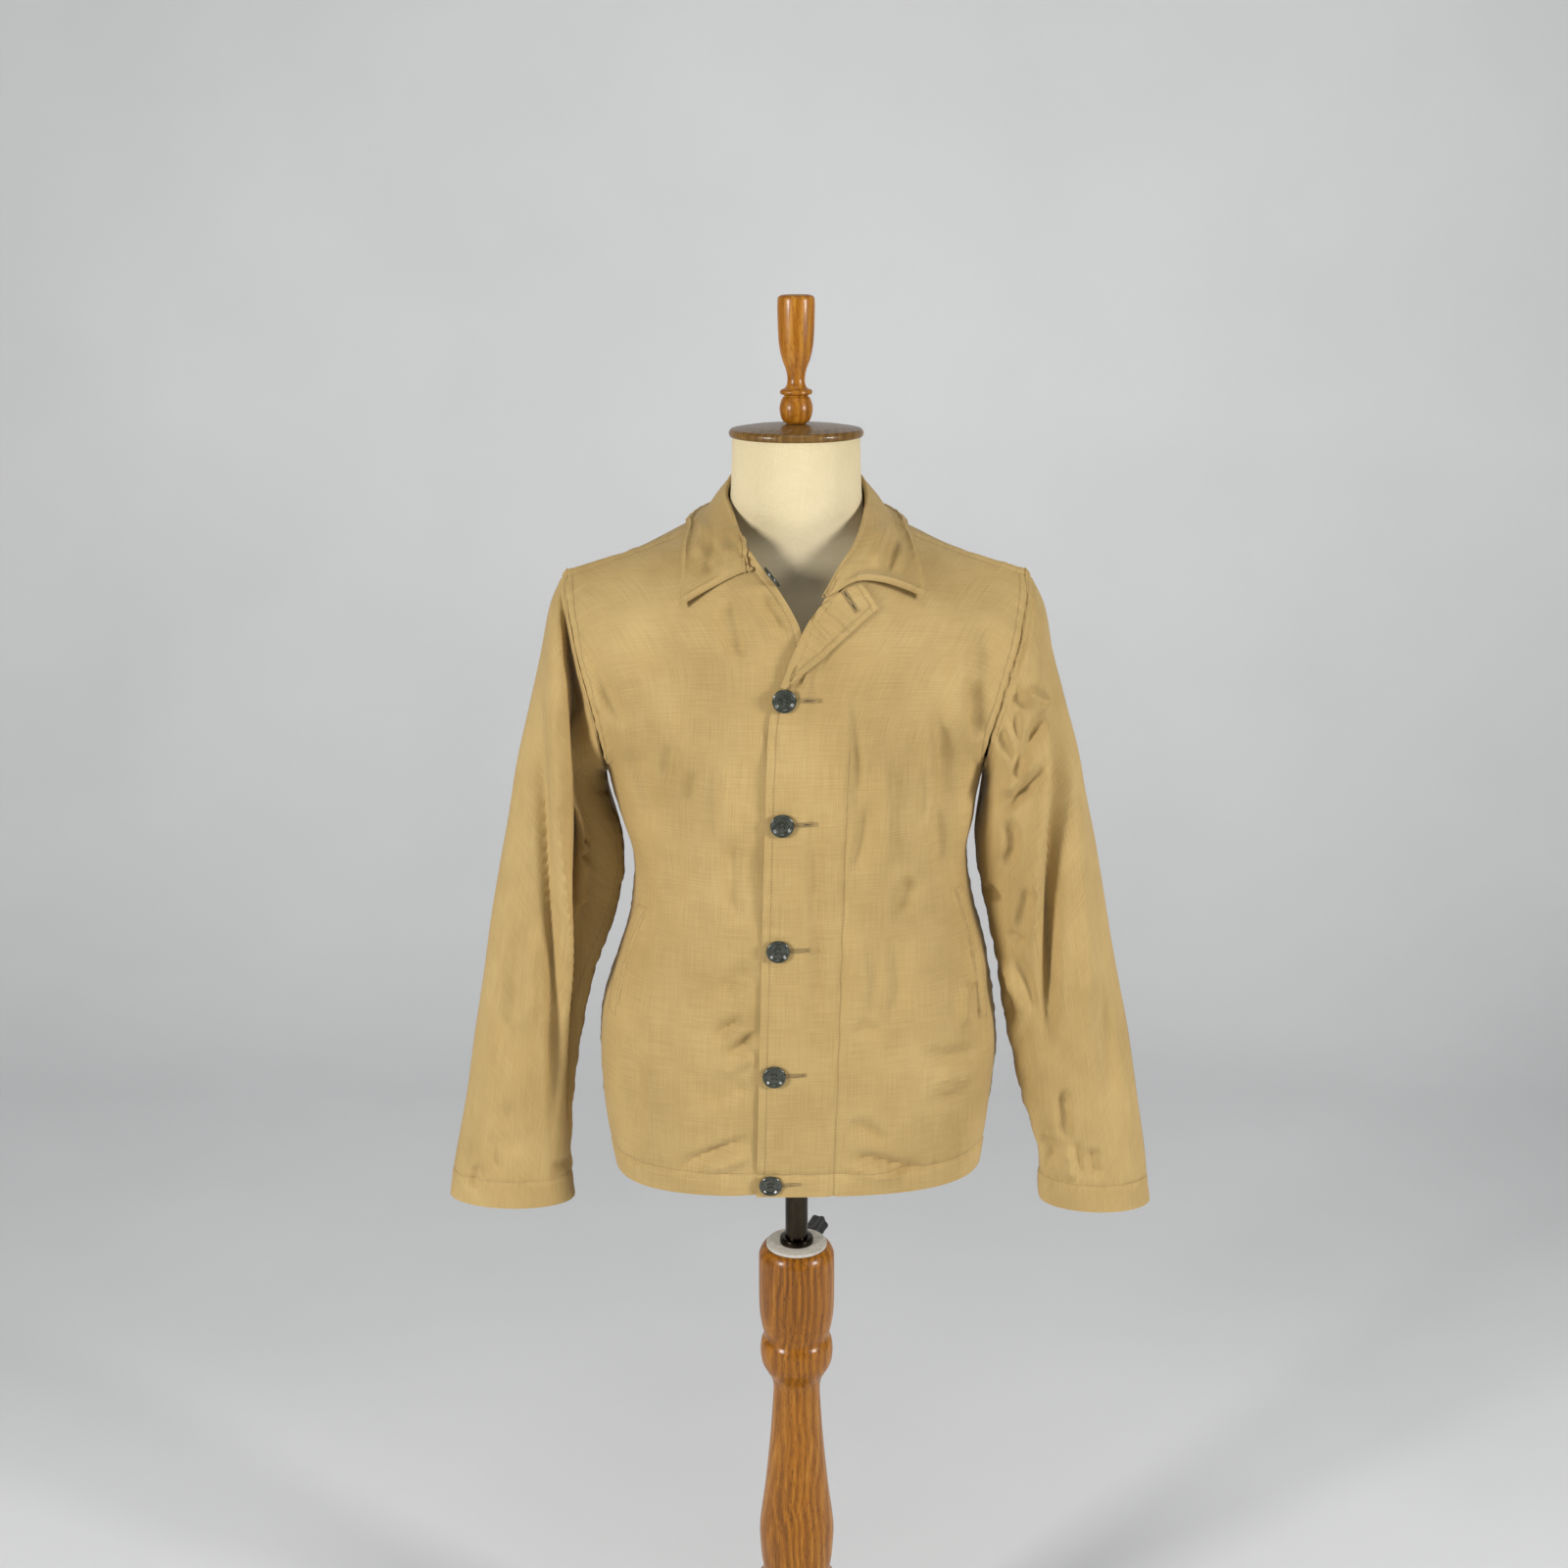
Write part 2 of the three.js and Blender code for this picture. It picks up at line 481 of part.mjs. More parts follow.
// The right front goes back under the left one's lap.
function sinkLap(grid, normals, edgeGrid) {
  grid.forEach((row, r) => row.forEach((p, c) => {
    const lapEdge = edgeGrid[r][0].x;
    const under = smooth((p.x - lapEdge + LAP_RAMP) / LAP_RAMP);
    const below = smooth((LAP_TOP - p.z) / LAP_TOP_FADE);
    p.addScaledVector(normals[r][c], -LAP_SINK * under * below);
  }));
}

// Normals shared by two pieces that meet at a seam, so that their walls end face to face.
function shareSeamNormals(grid, normals, hand) {
  const lastRow = grid.length - 1;
  const lastColumn = grid[0].length - 1;
  const seam = grid[lastRow][lastColumn].clone().sub(grid[lastRow][0]).normalize();
  const upright = new THREE.Vector3(0, 0, 1).addScaledVector(seam, -seam.z).normalize();
  normals[lastRow].forEach((n) => n.copy(upright));
  const underarm = Math.round((UNDERARM_ROW / (SIDE_ROWS.length - 1)) * lastRow);
  for (let r = 0; r <= underarm; r += 1) {
    normals[r][lastColumn].set(hand, 0, 0);
  }
}

function trimSeams(grid) {
  const lastRow = grid.length - 1;
  const lastColumn = grid[0].length - 1;
  grid.forEach((row) => trimTowards(row[lastColumn], row[lastColumn - 1]));
  grid[lastRow].forEach((p, c) => trimTowards(p, grid[lastRow - 1][c]));
}

function frontGrid(hand, rowSteps, columnSteps) {
  return panelGrid((t, s) => frontPoint(hand, t, s), rowSteps, columnSteps, hand, FRONT_FOLDS);
}

function backGrid(hand, rowSteps, columnSteps) {
  return panelGrid((t, s) => backPoint(hand, t, s), rowSteps, columnSteps, -hand, BACK_FOLDS);
}

function makeFront(name, hand) {
  const grid = frontGrid(hand, PANEL_ROWS, PANEL_COLUMNS);
  const normals = gridNormals(grid, false, hand);
  if (hand < 0) {
    sinkLap(grid, normals, frontGrid(1, PANEL_ROWS, PANEL_COLUMNS));
  }
  trimSeams(grid);
  shareSeamNormals(grid, normals, hand);
  addPiece(jacket, name, wall(grid, normals, CLOTH), 'cloth');
}

// The back is two halves on one centre line, which parts above the neck seam's middle.
function makeBack() {
  const halves = [-1, 1].map((hand) => {
    const grid = backGrid(hand, PANEL_ROWS, PANEL_COLUMNS);
    const normals = gridNormals(grid, false, -hand);
    trimSeams(grid);
    shareSeamNormals(grid, normals, hand);
    return { grid, normals };
  });
  const parting = Math.floor((NECK_ROW / (SIDE_ROWS.length - 1)) * PANEL_ROWS);
  for (let r = 0; r <= PANEL_ROWS; r += 1) {
    const [left, right] = halves;
    if (r <= parting) {
      const middle = left.grid[r][0].clone().add(right.grid[r][0]).multiplyScalar(0.5);
      const normal = left.normals[r][0].clone().add(right.normals[r][0]);
      middle.x = 0;
      normal.x = 0;
      normal.normalize();
      halves.forEach((half) => {
        half.grid[r][0] = middle.clone();
        half.normals[r][0] = normal.clone();
      });
    }
  }
  const points = [];
  const triangles = [];
  halves.forEach((half, k) => {
    const parts = wallParts(half.grid, half.normals, CLOTH, false, points.length, (r) => r >= parting);
    points.push(...parts.points);
    triangles.push(...(k === 0 ? parts.triangles : parts.triangles.map(([a, b, c]) => [a, c, b])));
  });
  addPiece(jacket, 'back', solid(points, triangles), 'cloth');
}

// A sleeve's ring at t rows down: an oval between its outer and inner lines.
function sleeveOval(rows, hand, t, angle) {
  const outer = new THREE.Vector3(hand * column(rows, 'ox', t), 0, column(rows, 'oz', t));
  const inner = new THREE.Vector3(hand * column(rows, 'ix', t), 0, column(rows, 'iz', t));
  const middle = outer.clone().add(inner).multiplyScalar(0.5);
  const half = outer.sub(inner).multiplyScalar(0.5);
  const front = column(rows, 'front', t);
  const back = column(rows, 'back', t);
  const point = middle.addScaledVector(half, Math.cos(angle));
  point.y = (front + back) / 2 + ((front - back) / 2) * Math.sin(angle);
  return point;
}

// The armhole as a loop of points, from the shoulder down the front and up the back.
function armholeLoop(hand, sides) {
  const lastRow = SIDE_ROWS.length - 1;
  const loop = [];
  for (let i = 0; i < sides; i += 1) {
    const f = (2 * i) / sides;
    const isFront = f <= 1;
    const t = lastRow - (lastRow - UNDERARM_ROW) * (isFront ? f : 2 - f);
    loop.push(sidePoint(hand, isFront, t));
  }
  return loop;
}

function sleeveGrid(rows, hand, sides, rowSteps, folds) {
  const lastRow = rows.length - 1;
  const armhole = armholeLoop(hand, sides);
  const grid = [];
  for (let r = 0; r <= rowSteps; r += 1) {
    const t = (r / rowSteps) * lastRow;
    const hold = Math.max(0, 1 - t / SLEEVE_HEAD_ROWS) ** 2;
    const ring = [];
    for (let i = 0; i < sides; i += 1) {
      const angle = (2 * Math.PI * i) / sides;
      const point = sleeveOval(rows, hand, t, angle);
      const rest = armhole[i].clone().sub(sleeveOval(rows, hand, 0, angle));
      point.addScaledVector(rest, hold);
      point.x += hand * 2 * SEAM_GAP * hold;
      ring.push(point);
    }
    grid.push(ring);
  }
  const normals = gridNormals(grid, true, hand);
  grid.forEach((ring, r) => ring.forEach((p, i) => {
    const facesFront = smooth(Math.sin((2 * Math.PI * i) / sides) * 2);
    const fade = facesFront * smooth(r / 4);
    p.addScaledVector(normals[r][i], fade * foldLift(folds, p.x, p.z));
  }));
  return grid;
}

function makeSleeve(name, hand, rows, folds) {
  const grid = sleeveGrid(rows, hand, SLEEVE_SIDES, SLEEVE_ROWS, folds);
  const normals = gridNormals(grid, true, hand);
  const shoulder = new THREE.Vector3(hand * 0.37, 0, 0.93);
  normals[0].forEach((n, i) => {
    const atShoulder = Math.max(0, Math.cos((2 * Math.PI * i) / SLEEVE_SIDES));
    n.lerp(shoulder, atShoulder).normalize();
  });
  addPiece(jacket, name, wall(grid, normals, CLOTH, true), 'cloth');
}

// Finer panels, which the smaller pieces are seated on.
const seats = {
  front_left: { grid: frontGrid(1, DENSE, DENSE), outward: 1 },
  front_right: { grid: frontGrid(-1, DENSE, DENSE), outward: -1 },
  back_left: { grid: backGrid(1, DENSE, DENSE), outward: -1 },
  back_right: { grid: backGrid(-1, DENSE, DENSE), outward: 1 },
};

function nearestSeat(names, distance) {
  let best = null;
  for (const name of names) {
    const { grid, outward } = seats[name];
    grid.forEach((row, r) => row.forEach((p, c) => {
      const d = distance(p);
      if (best === null || d < best.d) {
        best = { d, p, name, r, c, grid, outward };
      }
    }));
  }
  const normal = gridNormal(best.grid, best.r, best.c, false).multiplyScalar(best.outward);
  return { point: best.p, normal };
}

// The point of a panel that the front view shows at x and z, moved out by a height.
function onPanel(name, x, z, height) {
  const { point, normal } = nearestSeat([name], (p) => (p.x - x) ** 2 + (p.z - z) ** 2);
  const y = point.y - ((x - point.x) * normal.x + (z - point.z) * normal.z) / normal.y;
  return { point: new THREE.Vector3(x, y, z).addScaledVector(normal, height), normal };
}

// Moves a point out until it is clear of the panels.
function clearOf(names, point, height) {
  const { point: seat, normal } = nearestSeat(names, (p) => p.distanceToSquared(point));
  const distance = point.clone().sub(seat).dot(normal);
  if (distance < height) {
    point.addScaledVector(normal, height - distance);
  }
  return point;
}

// The collar's section: up the stand, over the crest and down the leaf.
function collarSection(rows, hand, t) {
  const pick = (keys) => pull(rows, keys, hand, t);
  const seam = pick(['sx', 'sy', 'sz']);
  const crest = pick(['cx', 'cy', 'cz']);
  const edge = pick(['lx', 'ly', 'lz']);
  const out = new THREE.Vector3(edge.x - crest.x, edge.y - crest.y, 0).normalize();
  const at = (o, z) => {
    const roll = new THREE.Vector3(0, 0, z * COLLAR_ROLL);
    return crest.clone().addScaledVector(out, o * COLLAR_ROLL).add(roll);
  };
  const inside = at(-1, -1);
  const outside = at(1, -1);
  const stand = [seam, seam.clone().lerp(inside, 0.5), inside];
  const section = [...stand, at(-0.7, -0.3), at(0, 0), at(0.7, -0.3), outside];
  const throat = hand > 0 ? THROAT_BOW * smooth(1 - t) : 0;
  for (const f of [0.25, 0.5, 0.75, 1]) {
    const leaf = outside.clone().lerp(edge, f);
    leaf.z += LEAF_BOW * Math.sin(Math.PI * f) + throat * Math.sin(Math.PI * f ** 0.7);
    section.push(leaf);
  }
  return section;
}

function makeCollar() {
  const last = COLLAR_RIGHT_ROWS.length - 1;
  const lift = LAYER_GAP + COLLAR_CLOTH;
  const grid = [];
  for (let k = 0; k <= COLLAR_STATIONS; k += 1) {
    const across = (2 * k) / COLLAR_STATIONS - 1;
    const hand = across < 0 ? -1 : 1;
    const rows = hand < 0 ? COLLAR_RIGHT_ROWS : COLLAR_LEFT_ROWS;
    const section = collarSection(rows, hand, last * (1 - Math.abs(across)));
    const under = Object.keys(seats);
    grid.push(section.map((p, c) => clearOf(under, p, lift + (c > COLLAR_CREST_STEP ? LEAF_LIFT : 0))));
  }
  const normals = gridNormals(grid, false, 1);
  addPiece(jacket, 'collar', wall(grid, normals, COLLAR_CLOTH), 'cloth');
}

// The turned-back corner: inner points run up the roll line, outer points along the front's edge.
const LAPEL_ROWS = [
  { ix: -15, iz: 1246, ox: -11, oz: 1244 },
  { ix: -6, iz: 1270, ox: 6, oz: 1258 },
  { ix: 5.5, iz: 1295, ox: 22, oz: 1271 },
  { ix: 15, iz: 1311, ox: 38, oz: 1285 },
  { ix: 24, iz: 1322, ox: 53, oz: 1297 },
  { ix: 41, iz: 1332, ox: 65, oz: 1306 },
  { ix: 57, iz: 1336, ox: 73, oz: 1312 },
];

function makeLapel() {
  const grid = [];
  for (let r = 0; r <= LAPEL_ROW_STEPS; r += 1) {
    const t = (r / LAPEL_ROW_STEPS) * (LAPEL_ROWS.length - 1);
    const row = [];
    for (let c = 0; c <= LAPEL_COLUMN_STEPS; c += 1) {
      const f = c / LAPEL_COLUMN_STEPS;
      const x = THREE.MathUtils.lerp(column(LAPEL_ROWS, 'ix', t), column(LAPEL_ROWS, 'ox', t), f);
      const z = THREE.MathUtils.lerp(column(LAPEL_ROWS, 'iz', t), column(LAPEL_ROWS, 'oz', t), f);
      const rise = LAYER_GAP + CLOTH + LAPEL_BOW * Math.sin(Math.PI * f) + LAPEL_SPRING * f;
      row.push(onPanel('front_left', x, z, rise).point);
    }
    grid.push(row);
  }
  const normals = gridNormals(grid, false, 1);
  addPiece(jacket, 'facing_left', wall(grid, normals, CLOTH), 'facing');
}

// A pocket's stitched opening: a narrow strip on the front, from its upper to its lower end.
const POCKET_WIDTH = 10;
const POCKETS = [
  { name: 'pocket_left', panel: 'front_left', x1: 157, z1: 1030, x2: 184, z2: 892, bow: 5 },
  { name: 'pocket_right', panel: 'front_right', x1: -149, z1: 1012, x2: -182, z2: 898, bow: -5 },
];

function makePocket({ name, panel, x1, z1, x2, z2, bow }) {
  const hand = Math.sign(x1);
  const height = 2 * LAYER_GAP + CLOTH;
  const grid = [];
  for (let r = 0; r <= POCKET_STEPS; r += 1) {
    const f = r / POCKET_STEPS;
    const x = THREE.MathUtils.lerp(x1, x2, f) + bow * Math.sin(Math.PI * f);
    const z = THREE.MathUtils.lerp(z1, z2, f);
    grid.push([-0.5, 0, 0.5].map((w) => onPanel(panel, x + w * POCKET_WIDTH * hand, z, height).point));
  }
  const normals = gridNormals(grid, false, -hand);
  addPiece(jacket, name, wall(grid, normals, CLOTH), 'cloth');
}

function turned(profile, sides = TURNED_SIDES) {
  const points = profile.map(([radius, height]) => new THREE.Vector2(radius, height));
  const lathe = new THREE.LatheGeometry(points, sides).rotateX(Math.PI / 2);
  lathe.deleteAttribute('normal');
  lathe.deleteAttribute('uv');
  const merged = mergeVertices(lathe, 1e-3);
  const kept = [];
  const index = merged.getIndex().array;
  for (let i = 0; i < index.length; i += 3) {
    const [a, b, c] = index.slice(i, i + 3);
    if (a !== b && b !== c && a !== c) {
      kept.push([a, b, c]);
    }
  }
  const position = merged.getAttribute('position');
  const vertices = [];
  for (let i = 0; i < position.count; i += 1) {
    vertices.push(new THREE.Vector3().fromBufferAttribute(position, i));
  }
  return solid(vertices, kept);
}

function buttonGeometry(radius) {
  return turned(BUTTON_PROFILE.map(([r, h]) => [r * radius, h * radius]), BUTTON_SIDES);
}

function placeButton(name, radius, point, axis) {
  const button = addPiece(jacket, name, buttonGeometry(radius), 'button');
  button.position.copy(point);
  button.quaternion.setFromUnitVectors(new THREE.Vector3(0, 0, 1), axis);
}

// Buttons down the left front's edge, from the top. The uppermost one is undone: it stands edge-on
// where the right front's neck edge turns in.
const TOP_BUTTON_ROW = 12.7;
const TOP_BUTTON_AXIS = new THREE.Vector3(0.79, 0.1, 0.6).normalize();
const BUTTONS = [
  { x: -11.5, z: 1233 },
  { x: -14, z: 1115 },
  { x: -18, z: 991 },
  { x: -22, z: 862 },
  { x: -26, z: 742 },
];

function makeButtons() {
  BUTTONS.forEach(({ x, z }, i) => {
    const { point, normal } = onPanel('front_left', x, z, LAYER_GAP);
    placeButton(`button_${i + 2}`, BUTTON_RADIUS, point, normal);
  });
  const neckEdge = frontPoint(-1, TOP_BUTTON_ROW, 0).addScaledVector(TOP_BUTTON_AXIS, LAYER_GAP);
  placeButton('button_1', BUTTON_RADIUS, neckEdge, TOP_BUTTON_AXIS);
}

// A cuff's button, on the back of the sleeve near its inner line.
const CUFF_BUTTON_HEIGHT = 728;
const CUFF_BUTTON_ANGLE = 222; // degrees round the sleeve, from its outer line over the front
const SEARCH_STEP = 0.01; // of a row, on the way down to the button's height
const TANGENT_STEP = 0.05; // of a row or of a radian, to either side

function makeCuffButton(name, hand, rows) {
  const angle = THREE.MathUtils.degToRad(CUFF_BUTTON_ANGLE);
  let t = 0;
  while (sleeveOval(rows, hand, t, angle).z > CUFF_BUTTON_HEIGHT) {
    t += SEARCH_STEP;
  }
  const at = (rowStep, turn) => sleeveOval(rows, hand, t + rowStep, angle + turn);
  const point = at(0, 0);
  const around = at(0, TANGENT_STEP).sub(at(0, -TANGENT_STEP));
  const down = at(TANGENT_STEP, 0).sub(at(-TANGENT_STEP, 0));
  const normal = around.cross(down).normalize().multiplyScalar(hand);
  placeButton(name, CUFF_BUTTON_RADIUS, point.addScaledVector(normal, LAYER_GAP), normal);
}

function makeForm() {
  const points = [];
  const triangles = [];
  const last = FORM_RINGS.length - 1;
  for (let r = 0; r <= FORM_ROWS; r += 1) {
    const t = (r / FORM_ROWS) * last;
    const power = 2 / column(FORM_RINGS, 'power', t);
    for (let i = 0; i < FORM_SIDES; i += 1) {
      const angle = (2 * Math.PI * i) / FORM_SIDES;
      const c = Math.cos(angle);
      const s = Math.sin(angle);
      const depth = column(FORM_RINGS, s < 0 ? 'front' : 'back', t);
      const x = column(FORM_RINGS, 'half', t) * Math.sign(c) * Math.abs(c) ** power;
      const y = depth * Math.sign(s) * Math.abs(s) ** power;
      points.push(new THREE.Vector3(x, y, column(FORM_RINGS, 'z', t)));
    }
  }
  const at = (r, i) => r * FORM_SIDES + (i % FORM_SIDES);
  for (let r = 0; r < FORM_ROWS; r += 1) {
    for (let i = 0; i < FORM_SIDES; i += 1) {
      quad(triangles, at(r, i), at(r, i + 1), at(r + 1, i + 1), at(r + 1, i));
    }
  }
  const foot = points.push(new THREE.Vector3(0, 0, FORM_FOOT)) - 1;
  const top = points.push(new THREE.Vector3(0, 0, NECK_TOP)) - 1;
  for (let i = 0; i < FORM_SIDES; i += 1) {
    triangles.push([foot, at(0, i + 1), at(0, i)]);
    triangles.push([top, at(FORM_ROWS, i), at(FORM_ROWS, i + 1)]);
  }
  addPiece(dressForm, 'torso_form', solid(points, triangles), 'canvas');
}

function makeNeck() {
  const rim = NECK_TOP + TOUCH;
  const cap = [
    [0, rim], [CAP_RADIUS - 1.5, rim], [CAP_RADIUS, rim + 2], [CAP_RADIUS, rim + 5],
    [CAP_RADIUS - 2, rim + 7.5], [45, rim + 10], [20, CAP_TOP], [0, CAP_TOP],
  ];
  addPiece(dressForm, 'neck_cap', turned(cap, CAP_SIDES), 'walnut');
  const foot = CAP_TOP + TOUCH;
  const finial = [
    [0, foot], [9, foot], [13.4, foot + 4], [15.65, foot + 14], [13.4, foot + 23], [11, foot + 26],
    [14.65, foot + 27.5], [14.65, foot + 31], [10, foot + 33.5], [8.2, foot + 40], [9.4, foot + 49],
    [13.4, foot + 60], [16.2, foot + 74], [17.25, foot + 95], [17.25, FINIAL_TOP - 5],
    [15.5, FINIAL_TOP - 1.2], [12, FINIAL_TOP], [0, FINIAL_TOP],
  ];
  addPiece(dressForm, 'finial', turned(finial, FINIAL_SIDES), 'beech');
}

function makeStand() {
  const base = [
    [0, 0], [BASE_RADIUS - 4, 0], [BASE_RADIUS, 4], [BASE_RADIUS, BASE_HEIGHT - 10],
    [BASE_RADIUS - 4, BASE_HEIGHT - 4], [BASE_RADIUS - 14, BASE_HEIGHT], [0, BASE_HEIGHT],
  ];
  addPiece(dressForm, 'base', turned(base, BASE_SIDES), 'beech');
  const foot = BASE_HEIGHT + TOUCH;
  const post = [
    [0, foot], [70, foot], [72, foot + 6], [66, foot + 14], [52, foot + 22], [44, foot + 46],
    [37, foot + 110], [33, foot + 150], [36, foot + 158], [44, foot + 164], [46.5, foot + 176],
    [44, foot + 190], [38, foot + 198], [36, foot + 208], [38.2, 250], [39.4, 266], [39.8, 290],
    [34, 337], [28.5, 393], [25.3, 440], [24.8, 458], [26.8, 468], [28.6, 472], [32, 478],
    [36.8, 488], [38.3, 501], [37, 512], [34, 519], [36.6, 530], [38.8, 545], [39.5, 562],
    [39.5, COLUMN_TOP - 17], [38.6, COLUMN_TOP - 8], [35.5, COLUMN_TOP - 2], [32.5, COLUMN_TOP],
    [BORE_RADIUS, COLUMN_TOP], [BORE_RADIUS, BORE_FLOOR], [0, BORE_FLOOR],
  ];
  addPiece(dressForm, 'column', turned(post), 'beech');
  const plateFoot = COLUMN_TOP + TOUCH;
  const plateTop = plateFoot + PLATE_HEIGHT;
  const plate = [
    [BORE_RADIUS, plateFoot], [31.5, plateFoot], [31.5, plateTop - 1], [30, plateTop],
    [BORE_RADIUS, plateTop], [BORE_RADIUS, plateFoot],
  ];
  addPiece(dressForm, 'column_plate', turned(plate), 'plate');
  const bushFoot = plateTop + TOUCH;
  const bushTop = bushFoot + BUSH_HEIGHT;
  const bush = [
    [BORE_RADIUS, bushFoot], [BUSH_RADIUS, bushFoot], [BUSH_RADIUS, bushTop - 2], [BUSH_RADIUS - 2, bushTop],
    [BORE_RADIUS, bushTop], [BORE_RADIUS, bushFoot],
  ];
  addPiece(dressForm, 'pole_collar', turned(bush), 'steel');
  const poleTop = FORM_FOOT - TOUCH;
  const pole = [[0, POLE_FOOT], [POLE_RADIUS, POLE_FOOT], [POLE_RADIUS, poleTop], [0, poleTop]];
  addPiece(dressForm, 'pole', turned(pole), 'steel');
}

// The clamp knob screws into the column's head from behind; its grip has flutes.
const KNOB_FLUTES = 6;
// Distance from the pole's centre line, radius, and depth of the flutes as a share of it.
const KNOB_PROFILE = [
  { along: 39.9, radius: 6, flute: 0 },
  { along: 46, radius: 6, flute: 0 },
  { along: 47, radius: 9.5, flute: 0.06 },
  { along: 66, radius: 11, flute: 0.12 },
  { along: 74, radius: 11, flute: 0.1 },
  { along: 76, radius: 8.5, flute: 0.04 },
];

function makeKnob() {
  const points = [];
  const triangles = [];
  for (const { along, radius, flute } of KNOB_PROFILE) {
    for (let i = 0; i < KNOB_SIDES; i += 1) {
      const angle = (2 * Math.PI * i) / KNOB_SIDES;
      const r = radius * (1 - flute + flute * Math.cos(KNOB_FLUTES * angle));
      points.push(new THREE.Vector3(r * Math.cos(angle), r * Math.sin(angle), along));
    }
  }
  const lastRing = KNOB_PROFILE.length - 1;
  const at = (r, i) => r * KNOB_SIDES + (i % KNOB_SIDES);
  for (let r = 0; r < lastRing; r += 1) {
    for (let i = 0; i < KNOB_SIDES; i += 1) {
      quad(triangles, at(r, i), at(r, i + 1), at(r + 1, i + 1), at(r + 1, i));
    }
  }
  const inner = points.push(new THREE.Vector3(0, 0, KNOB_PROFILE[0].along)) - 1;
  const outer = points.push(new THREE.Vector3(0, 0, KNOB_PROFILE[lastRing].along)) - 1;
  for (let i = 0; i < KNOB_SIDES; i += 1) {
    triangles.push([inner, at(0, i + 1), at(0, i)]);
    triangles.push([outer, at(lastRing, i), at(lastRing, i + 1)]);
  }
  const knob = addPiece(dressForm, 'clamp_knob', solid(points, triangles), 'plastic');
  const azimuth = THREE.MathUtils.degToRad(KNOB_AZIMUTH);
  const axis = new THREE.Vector3(Math.sin(azimuth), Math.cos(azimuth), 0);
  knob.position.set(0, 0, KNOB_HEIGHT);
  knob.quaternion.setFromUnitVectors(new THREE.Vector3(0, 0, 1), axis);
}

makeFront('front_left', 1);
makeFront('front_right', -1);
makeBack();
makeSleeve('sleeve_left', 1, SLEEVE_LEFT_ROWS, SLEEVE_LEFT_FOLDS);
makeSleeve('sleeve_right', -1, SLEEVE_RIGHT_ROWS, SLEEVE_RIGHT_FOLDS);
makeCollar();
makeLapel();
POCKETS.forEach(makePocket);
makeButtons();
makeCuffButton('cuff_button_left', 1, SLEEVE_LEFT_ROWS);
makeCuffButton('cuff_button_right', -1, SLEEVE_RIGHT_ROWS);
makeForm();
makeNeck();
makeStand();
makeKnob();

const part = new THREE.Group();
part.add(jacket, dressForm);

export default part;
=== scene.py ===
import math

import bpy
import numpy as np
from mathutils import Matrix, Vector
from mathutils.bvhtree import BVHTree


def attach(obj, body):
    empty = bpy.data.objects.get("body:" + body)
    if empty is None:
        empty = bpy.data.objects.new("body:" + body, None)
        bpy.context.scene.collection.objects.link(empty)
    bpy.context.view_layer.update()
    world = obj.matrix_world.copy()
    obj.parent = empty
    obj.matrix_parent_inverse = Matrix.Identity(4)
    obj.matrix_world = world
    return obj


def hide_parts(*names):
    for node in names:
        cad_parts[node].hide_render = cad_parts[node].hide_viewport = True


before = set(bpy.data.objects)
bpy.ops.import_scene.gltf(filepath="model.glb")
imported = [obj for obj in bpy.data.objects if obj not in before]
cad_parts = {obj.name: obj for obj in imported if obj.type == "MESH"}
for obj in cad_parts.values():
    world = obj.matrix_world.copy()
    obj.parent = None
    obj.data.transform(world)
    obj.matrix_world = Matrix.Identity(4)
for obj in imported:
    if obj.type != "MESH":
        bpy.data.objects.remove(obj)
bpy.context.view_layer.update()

# A coach jacket on a limbless dress form. Shapes are worked out in millimetres, +Z up, with the
# jacket's front facing -Y and +X at the wearer's left, and become metres when a mesh is made.
MM = 0.001
CLOTH = 0.9            # wall of a single panel
COLLAR_CLOTH = 1.5     # two layers and their interlining
LAYER_GAP = 0.6        # between a panel and what lies on it
LAP_SINK = 1.8         # the right front lies this far behind the left one at the buttons
LAP_SHORTENING = 0.8   # the right front's rows pull less, because they start at the lap's far side
LAP_RAMP = 30          # width over which the right front comes forward again
LAP_TOP = 1300         # the fronts part above this height
SLACK_LIFT = 1.3       # the left front's edge stands off this much between its buttons
SLACK_REACH = 26       # and is held down this far round each of them
SLACK_TOP = 1215
SLACK_FADE = 60
COLLAR_ROLL = 2.6      # radius of the fold along the collar's crest
LEAF_BOW = 3           # how far the collar's leaf bows out between crest and edge
THROAT_BOW = 13        # how much more its left front end does, at the turned-back corner
LEAF_RISE = 1.0        # the leaf's clearance of the panels beyond that of the stand
EDGE_RISE = 3          # and what its outer edge has on top of that
HEM = 24.5             # hem allowance, stitched at its upper edge
CUFF_HEM = 28
EDGE_STITCH = 7.5      # from a front's edge to its topstitching
SEAM_STITCH = 8.0      # from a felled seam to its second row
COLLAR_STITCH = 5.5    # from the collar's and the turned-back corner's edge to the topstitching
LAPEL_TOP_STITCH = 5
FACING_WIDTH = 76      # the facing's stitching lies this far from the left front's edge
FACING_TOP = 1200      # and fades out below this height
FACING_FADE = 80
POCKET_WIDTH = 10
POCKET_CROWN = 1.9     # how far a welt stands up along its middle
POCKET_SINK = 0.8      # how deep its edges lie in the panel
UNDERARM_HEIGHT = 1138
LEDGE_DROP = 30        # the right sleeve's inner part lies this far behind its front part
LEDGE_RUN = 6
LEDGE_RETURN = 0.18    # share of the drop that the cloth comes forward again further in
LIP_LIFT = 3
VALLEY_DEPTH = 12
TUCK_IN = 2.6          # a sleeve's top row is drawn in along the sleeve by this much
TUCK_UNDER = 1.1       # and lies this far below the armhole's edge
FOLD_DEPTH = 2.5       # depth of the narrow folds against the listed one
WIDE_FOLD = 12         # folds of this width and more are wide ones
